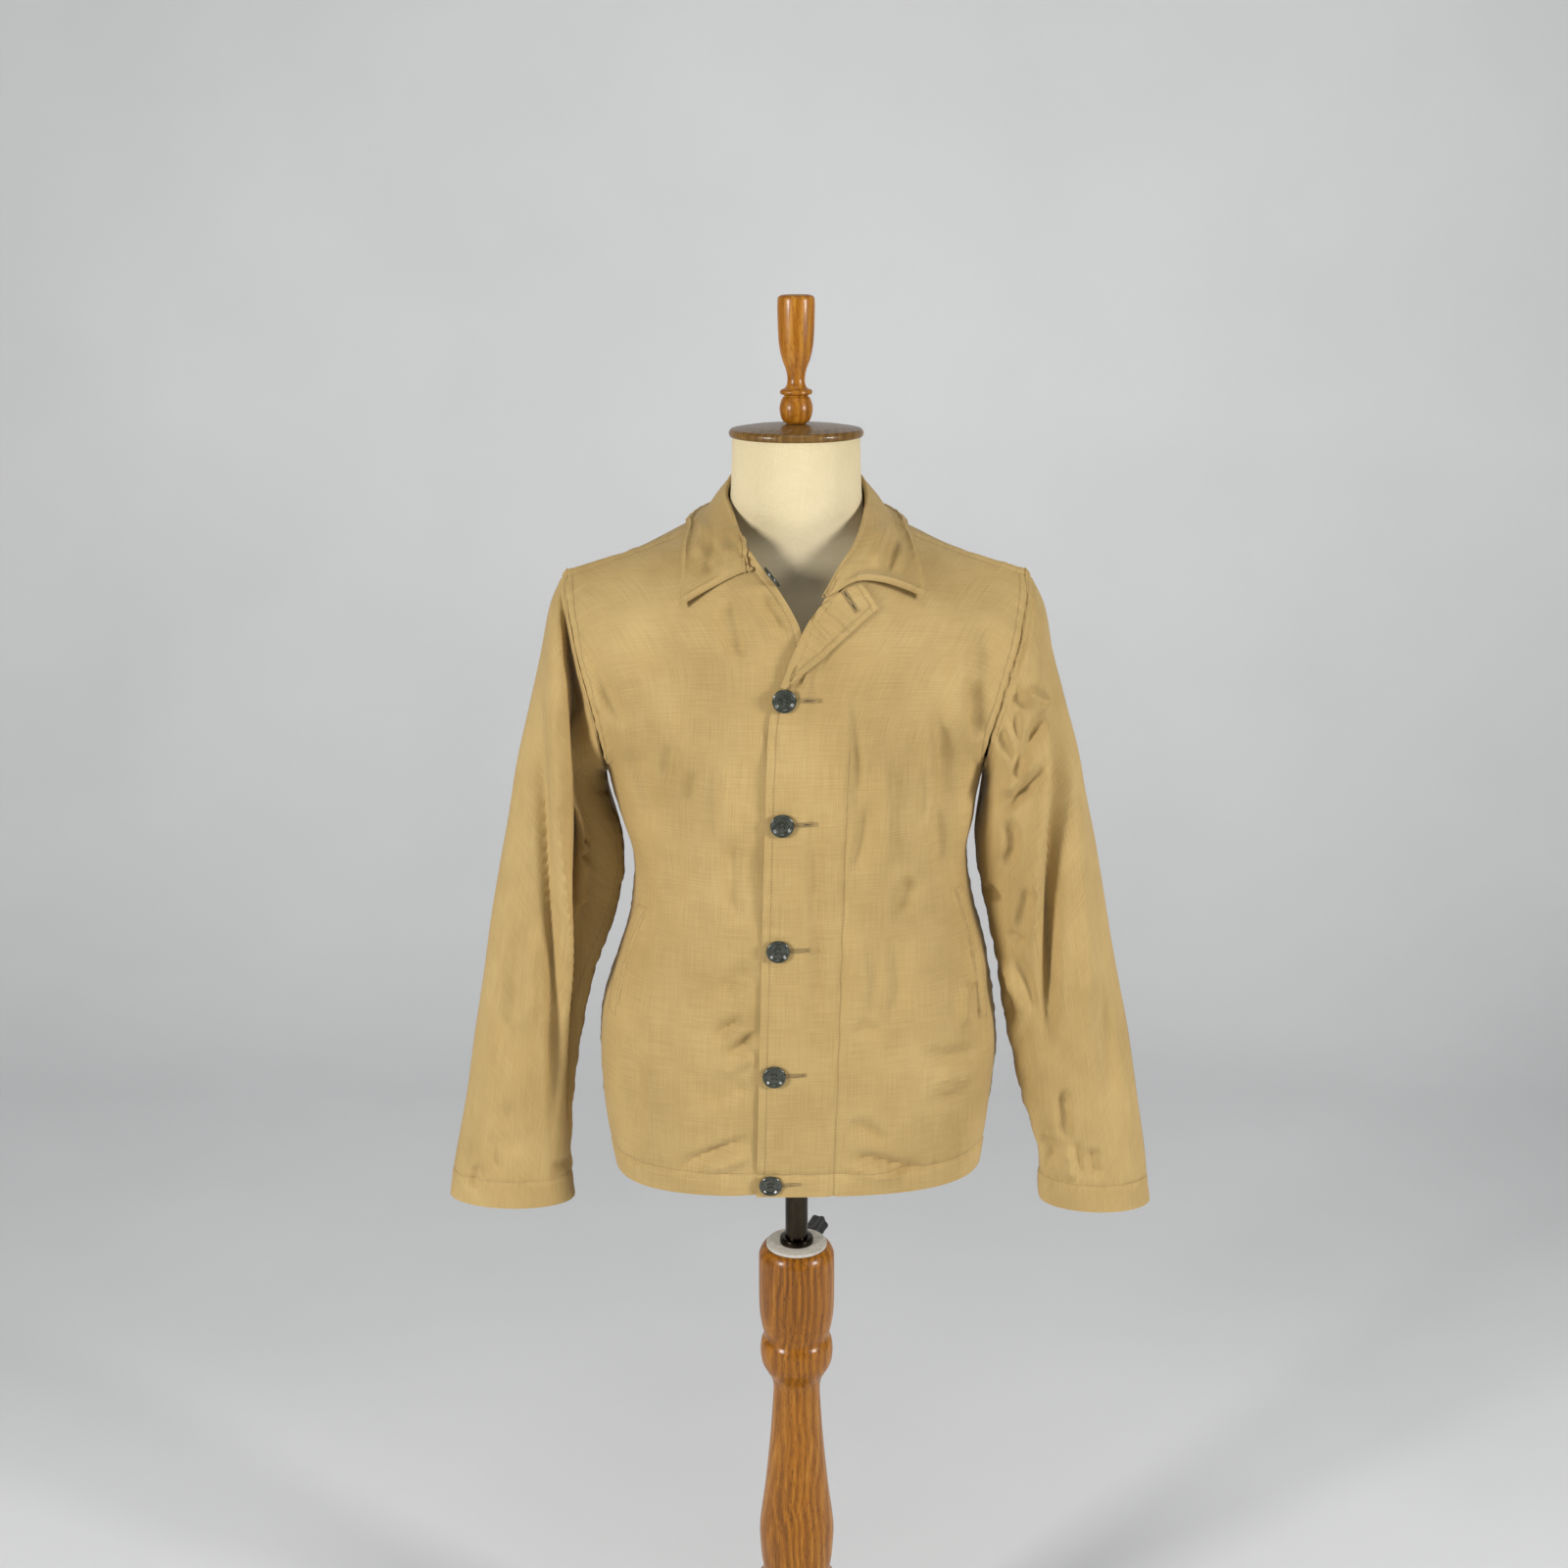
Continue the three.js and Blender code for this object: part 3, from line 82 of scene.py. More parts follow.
WIDE_FOLD_DEPTH = 1.2  # their depth against the listed one
GROOVE_DEPTH = 2.2     # depth of the stitch grooves against the stated one
PUCKER_HEIGHT = 1.6    # height of the puckers against the stated one
HEM_FADE = 30          # folds fade out this far from hem, shoulder and side
SHOULDER_FADE = 40
SIDE_FADE = 14
STITCH_PITCH = 3.1
STITCH_LENGTH = 2.5
THREAD = 0.36
BUTTON_RADIUS = 11.25
CUFF_BUTTON_RADIUS = 9.5
BUTTONS = ((-11.5, 1233), (-14, 1115), (-18, 991), (-22, 862), (-26, 742))
CUFF_BUTTON_HEIGHT = 728
CUFF_BUTTON_ANGLE = math.radians(222)
HOLE_LENGTH = 24
LAPEL_HOLE_LENGTH = 21
TACK = 4.2             # width of the bar at a buttonhole's end
KNOB_HEIGHT = 609
KNOB_AZIMUTH = math.radians(19)

# Rows of the tables below, counted from their first one
LAST_ROW = 16
UNDERARM_ROW = 8
NECK_ROW = 13
TOP_BUTTON_ROW = 12.7
SLEEVE_LAST_ROW = 11
COLLAR_LAST_ROW = 8
LAPEL_LAST_ROW = 6

# The stand and the form's hard parts
TOUCH = 0.3            # left between two pieces that rest on each other
NECK_TOP = 1458
CAP_RADIUS = 63.3
CAP_TOP = 1470
FINIAL_TOP = 1588
BASE_RADIUS = 190
BASE_HEIGHT = 26
POLE_RADIUS = 11.75
BORE_RADIUS = 12.2
BORE_FLOOR = 360
POLE_FOOT = 425
COLUMN_TOP = 622
PLATE_RADIUS = 31.5
PLATE_HEIGHT = 3
BUSH_RADIUS = 17.5
BUSH_HEIGHT = 6
FORM_FOOT = 760

# Mesh steps
PANEL_ROWS = 208
PANEL_COLUMNS = 104
SLEEVE_ROWS = 200
SLEEVE_SIDES = 120
COLLAR_STATIONS = 220
COLLAR_STEPS = 84
LAPEL_ROWS = 72
LAPEL_COLUMNS = 30
POCKET_ROWS = 90
POCKET_COLUMNS = 10
FORM_ROWS = 150
FORM_SIDES = 120
KNOB_SIDES = 96


def table(names, *rows):
    columns = np.array(rows, float).T
    return dict(zip(names.split(), columns))


# The fronts, a row from hem to shoulder seam: edge of the left front, edge of the right front,
# and the pulls of the row's curve at its edge and at its side.
FRONT = table(
    "lx ly lz rx ry rz ex ey ez sx sy sz",
    (-40, -104, 728, -6, -104, 729, 150, -4, 0, 0, -92, 0),
    (-38.5, -112, 790, -4.5, -112, 790, 148, -4, 0, 0, -86, 0),
    (-37, -118, 850, -3, -118, 850, 142, -4, 0, 0, -86, 0),
    (-35.5, -121, 905, -1.5, -121, 905, 134, -4, 0, 0, -84, 0),
    (-34, -123, 960, 0, -123, 960, 126, -4, 0, 0, -80, 0),
    (-32.5, -124, 1015, 1, -124, 1015, 120, -4, 0, 0, -78, 0),
    (-31, -126, 1070, 3, -126, 1070, 118, -4, 0, 0, -77, 0),
    (-29.5, -127, 1120, 4, -127, 1120, 114, -4, 0, 0, -76, 2),
    (-28, -128, 1170, 6, -128, 1168, 106, -4, 0, -4, -66, 8),
    (-26.5, -128, 1212, 8, -128, 1206, 94, -4, -6, -26, -44, 14),
    (-17, -128, 1243, 8, -127, 1250, 80, -4, -8, -40, -30, 16),
    (5.5, -122, 1296, 4, -121, 1294, 70, 4, -8, -52, -24, 18),
    (24, -110, 1321, -14, -113, 1328, 60, 8, -10, -54, -18, 22),
    (39, -96, 1342, -29, -102, 1346, 54, 6, -12, -54, -14, 22),
    (54, -75, 1359, -43, -85, 1364, 50, 5, -17, -54, -10, 19),
    (66, -41, 1374, -60, -48, 1378, 50, 4, -22, -52, -6, 17),
    (75, -2, 1386, -75, -2, 1387, 50, 3, -26, -50, -3, 16),
)
# Side seam and armhole: half width on the wearer's left and right, depth and height of the front
# part and of the back one.
SIDE = table(
    "left right frontY backY frontZ backZ",
    (189, 186, 8, 8, 727, 727),
    (197, 195.5, 6, 6, 790, 790),
    (202, 198, 4, 4, 850, 850),
    (197, 193, 3, 3, 905, 905),
    (188, 175, 2, 2, 958, 958),
    (174, 162, 2, 2, 1010, 1010),
    (168, 161, 2, 2, 1060, 1060),
    (173, 175, 2, 2, 1105, 1105),
    (180, 184, 0, 0, 1138, 1138),
    (181, 185, -34, 36, 1153, 1155),
    (185, 189, -55, 60, 1182, 1185),
    (194, 196, -60, 70, 1216, 1219),
    (204, 205, -53, 66, 1248, 1250),
    (212, 212, -40, 54, 1275, 1278),
    (217.5, 217.5, -24, 39, 1297, 1300),
    (220.5, 220.5, -8, 23, 1316, 1318),
    (221, 221, 8, 8, 1331, 1331),
)
# The back, a row from hem to shoulder seam: centre back, then the neck seam, and the pulls.
BACK = table(
    "x y z ex ey ez sx sy sz",
    (0, 106, 733, 95, 0, 0, 0, 60, 0),
    (0, 110, 790, 98, 0, 0, 0, 66, 0),
    (0, 111, 850, 98, 0, 0, 0, 66, 0),
    (0, 108, 905, 96, 0, 0, 0, 66, 0),
    (0, 104, 960, 94, 0, 0, 0, 66, 0),
    (0, 102, 1015, 92, 0, 0, 0, 66, 0),
    (0, 103, 1070, 92, 0, 0, 0, 66, 0),
    (0, 107, 1120, 92, 0, 0, 0, 66, 2),
    (0, 112, 1172, 92, 0, 0, -4, 62, 8),
    (0, 116, 1222, 88, 0, -4, -26, 44, 16),
    (0, 117, 1272, 82, 2, -6, -40, 30, 20),
    (0, 111, 1320, 74, 4, -6, -50, 26, 24),
    (0, 95, 1364, 66, 6, -5, -54, 22, 28),
    (0, 68, 1400, 56, 8, -6, -56, 18, 28),
    (44, 56, 1398, 50, 8, -16, -55, 13, 22),
    (67, 28, 1392, 50, 5, -22, -52, 7, 18),
    (75, -2, 1386.5, 50, 3, -26, -50, -3, 16),
)
# The sleeves, a row from armhole to cuff: outer and inner line seen from the front, and depth.
SLEEVE_LEFT = table(
    "ox oz ix iz front back",
    (221, 1331, 180, 1138, -62, 72),
    (238, 1299, 183, 1124, -65, 72),
    (247, 1256, 181, 1106, -66, 70),
    (259, 1212, 178, 1084, -65, 66),
    (271, 1168, 177, 1058, -63, 61),
    (284, 1112, 181, 1028, -60, 55),
    (298, 1045, 190, 988, -58, 49),
    (313, 967, 201, 938, -56, 43),
    (330, 888, 210, 878, -54, 37),
    (345, 805, 228, 800, -51, 31),
    (357, 735, 246, 738, -48, 25),
    (363, 682, 250, 684, -50, 21),
)
SLEEVE_RIGHT = table(
    "ox oz ix iz front back",
    (221, 1331, 184, 1138, -62, 72),
    (236, 1299, 187, 1124, -65, 72),
    (245, 1256, 184, 1106, -66, 70),
    (257, 1208, 176, 1082, -65, 66),
    (269, 1158, 171, 1052, -63, 61),
    (282, 1092, 173, 1016, -60, 55),
    (297, 1021, 184, 976, -58, 49),
    (312, 938, 199, 936, -56, 43),
    (325, 862, 214, 878, -54, 37),
    (338, 785, 226, 802, -51, 31),
    (351, 725, 231, 740, -48, 25),
    (356, 690, 229, 686, -49, 21),
)
# The collar, a row from front end to centre back: seam, crest and outer edge.
COLLAR_RIGHT_ENDS = (
    (44, -85, 1341, 43, -92, 1346, 108, -92, 1314),
    (50, -72, 1364, 47, -78, 1367, 106, -72, 1336),
    (61, -48, 1380, 56, -54, 1383, 104, -44, 1355),
    (70, -22, 1386, 62, -27, 1396, 102, -15, 1366),
    (75, 2, 1391, 67, 0, 1407, 99, 14, 1370),
)
COLLAR_LEFT_ENDS = (
    (28, -106, 1327, 25, -111, 1328, 121, -84, 1320),
    (43, -90, 1348, 40, -95, 1352, 119, -62, 1340),
    (58, -66, 1364, 55, -70, 1371, 113, -38, 1356),
    (69, -34, 1379, 64, -37, 1391, 105, -10, 1365),
    (75, 3, 1391, 67, 2, 1407, 99, 18, 1370),
)
COLLAR_BACK = (
    (67, 29, 1396, 61, 32, 1420, 89, 46, 1377),
    (48, 53, 1401, 45, 54, 1428, 63, 72, 1385),
    (24, 66, 1403, 23, 67, 1432, 32, 84, 1388),
    (0, 70, 1404, 0, 71, 1433, 0, 88, 1389),
)
COLLAR_NAMES = "sx sy sz cx cy cz lx ly lz"
COLLAR_RIGHT = table(COLLAR_NAMES, *COLLAR_RIGHT_ENDS, *COLLAR_BACK)
COLLAR_LEFT = table(COLLAR_NAMES, *COLLAR_LEFT_ENDS, *COLLAR_BACK)
# The turned-back corner: points up the roll line, and along the front's own edge.
LAPEL = table(
    "ix iz ox oz",
    (-15, 1246, -11, 1244),
    (-6, 1270, 6, 1258),
    (5.5, 1295, 22, 1271),
    (15, 1311, 38, 1285),
    (24, 1322, 53, 1297),
    (41, 1332, 65, 1306),
    (57, 1336, 73, 1312),
)
# The form, a ring from foot to neck.
FORM = table(
    "z half front back power",
    (760, 150, 84, 84, 2.3),
    (772, 160, 90, 90, 2.3),
    (850, 172, 96, 98, 2.3),
    (930, 160, 94, 90, 2.3),
    (1015, 144, 92, 82, 2.2),
    (1090, 148, 98, 88, 2.2),
    (1150, 160, 106, 97, 2.2),
    (1215, 174, 108, 104, 2.1),
    (1265, 188, 103, 103, 1.9),
    (1300, 200, 88, 97, 1.6),
    (1319, 198, 78, 90, 1.45),
    (1334, 176, 71, 84, 1.35),
    (1351, 134, 65, 76, 1.3),
    (1367, 94, 61, 69, 1.28),
    (1384, 68, 60.5, 64, 1.6),
    (1398, 62.2, 60.5, 62, 2),
    (1458, 60, 60, 60, 2),
)


# Curves and fields
def smooth(f):
    c = np.clip(f, 0, 1)
    return c * c * (3 - 2 * c)


def spline(values, t):
    """A table's column as a smooth curve; t counts rows."""
    v = np.asarray(values, float)
    v = np.concatenate([[2 * v[0] - v[1]], v, [2 * v[-1] - v[-2]]])
    t = np.asarray(t, float)
    i = np.clip(np.floor(t).astype(int), 0, len(v) - 4)
    f = t - i
    a, b = v[i + 1], v[i + 2]
    slope_a, slope_b = (b - v[i]) / 2, (v[i + 3] - a) / 2
    f2, f3 = f * f, f * f * f
    towards_a = (2 * f3 - 3 * f2 + 1) * a + (f3 - 2 * f2 + f) * slope_a
    return towards_a + (3 * f2 - 2 * f3) * b + (f3 - f2) * slope_b


def spline_points(points, steps):
    points = np.asarray(points, float)
    t = np.linspace(0, len(points) - 1, steps)
    return np.stack([spline(points[:, k], t) for k in range(points.shape[1])], -1)


def triple(columns, names, t, hand=1):
    x, y, z = (spline(columns[n], t) for n in names.split())
    return np.stack([hand * x, y, z], -1)


def bezier(a, b, c, d, s):
    s = s[..., None]
    r = 1 - s
    return r ** 3 * a + 3 * r * r * s * b + 3 * r * s * s * c + s ** 3 * d


def noise(seed, u, v=0.0):
    """Smooth random values from -1 to 1, one bump to a unit."""
    values = np.random.default_rng(seed).uniform(-1, 1, (64, 64))
    u, v = np.broadcast_arrays(np.asarray(u, float), np.asarray(v, float))
    i, j = np.floor(u).astype(int), np.floor(v).astype(int)
    f, g = smooth(u - i), smooth(v - j)
    i, j, i2, j2 = i % 64, j % 64, (i + 1) % 64, (j + 1) % 64
    low = values[i, j] * (1 - f) + values[i2, j] * f
    high = values[i, j2] * (1 - f) + values[i2, j2] * f
    return low * (1 - g) + high * g


def unit(v):
    return v / np.maximum(np.linalg.norm(v, axis=-1, keepdims=True), 1e-9)


def normals_of(grid, outward, wraps=False):
    up = np.empty_like(grid)
    up[1:-1] = grid[2:] - grid[:-2]
    up[0], up[-1] = grid[1] - grid[0], grid[-1] - grid[-2]
    if wraps:
        across = np.roll(grid, -1, 1) - np.roll(grid, 1, 1)
    else:
        across = np.empty_like(grid)
        across[:, 1:-1] = grid[:, 2:] - grid[:, :-2]
        across[:, 0], across[:, -1] = grid[:, 1] - grid[:, 0], grid[:, -1] - grid[:, -2]
    return unit(np.cross(across, up)) * outward


def raised(grid, normals, lift, outward):
    """A grid moved out along its normals by a lift, and its new normals."""
    grid = grid + normals * lift[..., None]
    return grid, normals_of(grid, outward)


def lengths(grid, axis):
    """Distance travelled along the grid's rows (axis 1) or columns (axis 0)."""
    steps = np.linalg.norm(np.diff(grid, axis=axis), axis=-1)
    total = np.cumsum(steps, axis)
    pad = [(1, 0), (0, 0)] if axis == 0 else [(0, 0), (1, 0)]
    return np.pad(total, pad)


def soften(values, passes):
    for _ in range(passes):
        inner = (values[:-2] + 2 * values[1:-1] + values[2:]) / 4
        values = np.concatenate([values[:1], inner, values[-1:]])
    return values


def crease(x, z, points, width, depth, seed=0, ends=0.3):
    """Lift of a soft trough (minus depth) or ridge along a line of points, lower towards its ends."""
    curve = spline_points(points, 36)
    step = np.diff(curve, axis=0)
    middle = (curve[1:] + curve[:-1]) / 2
    length = np.linalg.norm(step, axis=1)
    tangent = step / length[:, None]
    low, high = curve.min(0) - 4 * width, curve.max(0) + 4 * width
    near = (x > low[0]) & (x < high[0]) & (z > low[1]) & (z < high[1])
    lift = np.zeros(x.shape)
    if not near.any():
        return lift
    px, pz = x[near], z[near]
    far = (px[:, None] - middle[:, 0]) ** 2 + (pz[:, None] - middle[:, 1]) ** 2
    k = far.argmin(1)
    ox, oz = px - middle[k, 0], pz - middle[k, 1]
    travel = (ox * tangent[k, 0] + oz * tangent[k, 1]) + np.cumsum(length)[k]
    aside = ox * tangent[k, 1] - oz * tangent[k, 0]
    total = length.sum()
    along = travel / total
    fade = smooth(along / ends) * smooth((1 - along) / ends)
    uneven = 1 + 0.25 * noise(seed + 5, along * 4 + seed)
    flank = width * (1 + 0.35 * np.sign(aside) * math.sin(seed * 2.4))
    u2 = (aside / flank) ** 2
    beyond = np.maximum(-travel, 0) + np.maximum(travel - total, 0)
    fade = fade * np.exp(-(beyond / width) ** 2)
    lift[near] = depth * uneven * fade * (1 - 0.45 * u2) * np.exp(-0.8 * u2)
    return lift


def creases(x, z, rows):
    """The sum of many: each row is (width, depth, x, z, x, z, ...)."""
    lift = np.zeros(x.shape)
    for k, (width, depth, *line) in enumerate(rows):
        deep = depth * (FOLD_DEPTH if width < WIDE_FOLD else WIDE_FOLD_DEPTH)
        lift += crease(x, z, np.array(line).reshape(-1, 2), width, deep, seed=k + 1)
    return lift


def pucker(seed, along, aside, pitch, height, reach):
    """Uneven ripples along a stitched seam, fading on both sides of it."""
    wave = noise(seed, along / pitch, aside / (3 * reach)) + 0.5 * noise(seed + 1, along / (0.45 * pitch))
    return PUCKER_HEIGHT * height * wave * np.exp(-(aside / reach) ** 2)


def groove(aside, width, depth):
    return -GROOVE_DEPTH * depth * np.exp(-(aside / width) ** 2)


# Meshes
def linked(name, data):
    obj = bpy.data.objects.new(name, data)
    bpy.context.scene.collection.objects.link(obj)
    return obj


def shade_smooth(mesh):
    mesh.polygons.foreach_set("use_smooth", [True] * len(mesh.polygons))


def new_object(name, points, faces, material, body="form", smooth_angle=40, uv=None):
    mesh = bpy.data.meshes.new(name)
    mesh.from_pydata((np.asarray(points, float) * MM).tolist(), [], faces)
    mesh.validate()
    mesh.materials.append(material)
    shade_smooth(mesh)
    if uv is not None:
        layer = mesh.uv_layers.new(name="cut")
        loops = np.zeros(len(mesh.loops), int)
        mesh.loops.foreach_get("vertex_index", loops)
        layer.data.foreach_set("uv", np.asarray(uv, np.float32)[loops].ravel())
    mesh.set_sharp_from_angle(angle=math.radians(smooth_angle))
    obj = linked(name, mesh)
    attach(obj, body)
    return obj


def grid_faces(rows, columns, offset, wraps, flip=False):
    r = np.arange(rows - 1)[:, None]
    c = np.arange(columns if wraps else columns - 1)[None, :]
    c2 = (c + 1) % columns
    a, b = r * columns + c, r * columns + c2
    quads = np.stack([a, b, b + columns, a + columns], -1).reshape(-1, 4) + offset
    return quads[:, ::-1] if flip else quads


def rim_faces(outer, inner, flip=False):
    quads = np.stack([outer[:-1], inner[:-1], inner[1:], outer[1:]], -1)
    return quads[:, ::-1] if flip else quads


def shell(name, grid, normals, thickness, across, up, wraps=False, outward=1):
    """A thin closed cloth: the grid is its outer side, and the inner one lies behind it."""
    rows, columns = grid.shape[:2]
    points = np.concatenate([grid.reshape(-1, 3), (grid - normals * thickness).reshape(-1, 3)])
    n = rows * columns
    index = np.arange(n).reshape(rows, columns)
    flip = outward < 0
    faces = [
        grid_faces(rows, columns, 0, wraps, flip),
        grid_faces(rows, columns, n, wraps, not flip),
    ]
    loop = (lambda row: np.append(row, row[0])) if wraps else (lambda row: row)
    faces.append(rim_faces(loop(index[0]), loop(index[0] + n), flip))
    faces.append(rim_faces(loop(index[-1]), loop(index[-1] + n), not flip))
    if not wraps:
        faces.append(rim_faces(index[:, 0], index[:, 0] + n, not flip))
        faces.append(rim_faces(index[:, -1], index[:, -1] + n, flip))
    uv = np.tile(np.stack([across, up], -1).reshape(-1, 2), (2, 1)) * MM
    return new_object(name, points, np.concatenate(faces).tolist(), cloth, uv=uv)


def close_ends(faces, sides, low, high, last):
    """Fans between the first ring and the point low, and between the last ring and the point high."""
    for i in range(sides):
        j = (i + 1) % sides
        faces.append([low, j, i])
        faces.append([high, last + i, last + j])


def turned(name, profile, material, body, sides=96):
    """A solid turned round the Z axis from (radius, height) points."""
    profile = np.array(profile, float)
    angle = np.linspace(0, 2 * math.pi, sides, endpoint=False)
    ring = np.stack([np.cos(angle), np.sin(angle)], -1)
    points, faces, rings = [], [], []
    for radius, height in profile:
        start = len(points)
        if radius == 0:
            points.append((0, 0, height))
            rings.append([start] * sides)
        else:
            points.extend(np.column_stack([ring * radius, np.full(sides, height)]).tolist())
            rings.append(list(range(start, start + sides)))
    for low, high in zip(rings, rings[1:]):
        for i in range(sides):
            j = (i + 1) % sides
            corners = [low[i], low[j], high[j], high[i]]
            unique = list(dict.fromkeys(corners))
            if len(unique) > 2:
                faces.append(unique)
    return new_object(name, points, faces, material, body)


def rounded(profile, steps=5, corner=1.2):
    """Rounds a profile's sharp corners a little, and keeps its straight runs."""
    profile = np.array(profile, float)
    out = [profile[0]]
    for a, b, c in zip(profile, profile[1:], profile[2:]):
        to_a, to_c = a - b, c - b
        cut = min(corner, 0.35 * np.linalg.norm(to_a), 0.35 * np.linalg.norm(to_c))
        p, q = b + cut * to_a / np.linalg.norm(to_a), b + cut * to_c / np.linalg.norm(to_c)
        for f in np.linspace(0, 1, steps):
            out.append((1 - f) ** 2 * p + 2 * f * (1 - f) * b + f * f * q)
    out.append(profile[-1])
    return out


def curved(profile, steps=4):
    """A profile whose points lie on one smooth line."""
    return spline_points(profile, (len(profile) - 1) * steps + 1)


def sample(field, rows, columns):
    """Values of a grid at fractional rows and columns."""
    r = np.clip(rows, 0, field.shape[0] - 1.001)
    c = np.clip(columns, 0, field.shape[1] - 1.001)
    i, j = np.floor(r).astype(int), np.floor(c).astype(int)
    f, g = (r - i)[..., None], (c - j)[..., None]
    low = field[i, j] * (1 - g) + field[i, j + 1] * g
    high = field[i + 1, j] * (1 - g) + field[i + 1, j + 1] * g
    return low * (1 - f) + high * f


def column_at(along, distance):
    """For each row, the fractional column that lies at a distance from column 0."""
    return np.array([np.interp(d, row, np.arange(len(row))) for row, d in
                     zip(along, np.broadcast_to(distance, (len(along),)))])


def row_at(up, distance):
    return np.array([np.interp(distance, column, np.arange(len(column))) for column in up.T])


def between(travelled, points, at):
    return np.stack([np.interp(at, travelled, points[:, k]) for k in range(3)], -1)


def stitches(name, runs):
    """Separate lockstitches along runs of (points, normals): each dips into the cloth at its ends."""
    stations = np.array([-0.5, -0.3, 0, 0.3, 0.5]) * STITCH_LENGTH
    heights = np.array([-0.7, 0.35, 0.6, 0.35, -0.7]) * THREAD
    radii = np.array([0.5, 0.95, 1, 0.95, 0.5]) * THREAD
    turn = np.linspace(0, 2 * math.pi, 5, endpoint=False)
    points, faces, start = [], [], 0
    side = grid_faces(5, 5, 0, True)
    for path, normal in runs:
        travelled = np.concatenate([[0], np.cumsum(np.linalg.norm(np.diff(path, axis=0), axis=1))])
        count = int(travelled[-1] / STITCH_PITCH)
        at = (np.arange(count) + 0.5) * STITCH_PITCH
        centre = between(travelled, path, at)
        up = unit(between(travelled, normal, at))
        along = unit(between(travelled, path, at + 1) - between(travelled, path, at - 1))
        across = unit(np.cross(along, up))
        for c, u, a, x in zip(centre, up, along, across):
            for s, h, r in zip(stations, heights, radii):
                ring = c + a * s + u * h + np.outer(np.cos(turn) * r, x) + np.outer(np.sin(turn) * r, u)
                points.append(ring)
            faces.append(side + start)
            start += 25
    return new_object(name, np.concatenate(points), np.concatenate(faces).tolist(), khaki_thread)


# Materials
def link(tree, a, b):
    tree.links.new(a, b)


def node(tree, kind, **settings):
    made = tree.nodes.new(kind)
    for key, value in settings.items():
        if hasattr(made, key):
            setattr(made, key, value)
        else:
            made.inputs[key.replace("_", " ")].default_value = value
    return made


def base_material(name, **constants):
    material = bpy.data.materials.new(name)
    material.use_nodes = True
    tree = material.node_tree
    shader = tree.nodes["Principled BSDF"]
    for key, value in constants.items():
        shader.inputs[key.replace("_", " ")].default_value = value
    place = node(tree, "ShaderNodeTexCoord").outputs["Object"]
    return material, tree, shader, place


def ramp(tree, factor, stops):
    made = tree.nodes.new("ShaderNodeValToRGB")
    elements = made.color_ramp.elements
    while len(elements) < len(stops):
        elements.new(0.5)
    for element, (position, colour) in zip(elements, stops):
        element.position = position
        element.color = (*colour, 1)
    link(tree, factor, made.inputs[0])
    return made.outputs[0]


def math_node(tree, operation, a, b=None):
    made = tree.nodes.new("ShaderNodeMath")
    made.operation = operation
    for socket, value in zip(made.inputs, (a, b)):
        if value is None:
            continue
        if isinstance(value, (int, float)):
            socket.default_value = value
        else:
            link(tree, value, socket)
    return made.outputs[0]


def product(tree, a, b):
    return math_node(tree, "MULTIPLY", a, b)


def total(tree, a, b):
    return math_node(tree, "ADD", a, b)


def stretched_noise(tree, vector, scale, detail=2.0, roughness=0.5):
    mapping = node(tree, "ShaderNodeMapping", Scale=scale)
    link(tree, vector, mapping.inputs["Vector"])
    texture = node(tree, "ShaderNodeTexNoise", Scale=1, Detail=detail, Roughness=roughness)
    link(tree, mapping.outputs[0], texture.inputs["Vector"])
    return texture.outputs["Fac"]


def bump(tree, shader, height, distance, strength=1.0, below=None):
    made = node(tree, "ShaderNodeBump", Distance=distance, Strength=strength)
    link(tree, height, made.inputs["Height"])
    if below is not None:
        link(tree, below, made.inputs["Normal"])
    link(tree, made.outputs[0], shader.inputs["Normal"])
    return made.outputs[0]


def finish_coat(tree, shader, tone, stops, texture, spread, rough):
    """Base colour from a ramp over the tone, and roughness from a texture's spread."""
    link(tree, ramp(tree, tone, stops), shader.inputs["Base Color"])
    link(tree, total(tree, product(tree, texture, spread), rough), shader.inputs["Roughness"])


def cloth_material(name, dark, middle, light, pitch=0.62, weave_depth=0.00014, slub=0.55):
    """Plain-weave cotton: threads over and under at their pitch, slubs, and a faint cloud of wear."""
    material, tree, shader, place = base_material(
        name, Sheen_Weight=0.25, Sheen_Roughness=0.35, Sheen_Tint=(1.0, 0.9, 0.7, 1),
        Specular_IOR_Level=0.28)
    cut = node(tree, "ShaderNodeUVMap", uv_map="cut").outputs[0]
    split = tree.nodes.new("ShaderNodeSeparateXYZ")
    link(tree, cut, split.inputs[0])
    turn = math.pi / (pitch * MM)
    across, along = (math_node(tree, "SINE", product(tree, split.outputs[k], turn)) for k in (0, 1))
    over = product(tree, across, along)
    weft = stretched_noise(tree, cut, (26, 900, 1), 3, 0.65)
    warp = stretched_noise(tree, cut, (900, 22, 1), 3, 0.65)
    cloud = stretched_noise(tree, place, (9, 9, 9), 4, 0.55)
    slubs = product(tree, total(tree, weft, warp), 0.5)
    tone = total(tree, product(tree, slubs, slub), product(tree, cloud, 1 - slub))
    tone = total(tree, tone, product(tree, over, 0.03))
    finish_coat(tree, shader, tone, ((0.38, dark), (0.5, middle), (0.62, light)), cloud, 0.16, 0.6)
    relief = total(tree, product(tree, over, 0.5), product(tree, slubs, 1.6))
    first = bump(tree, shader, relief, weave_depth)
    grain = stretched_noise(tree, place, (260, 260, 260), 3, 0.6)
    bump(tree, shader, grain, 0.00025, 0.5, first)
    return material


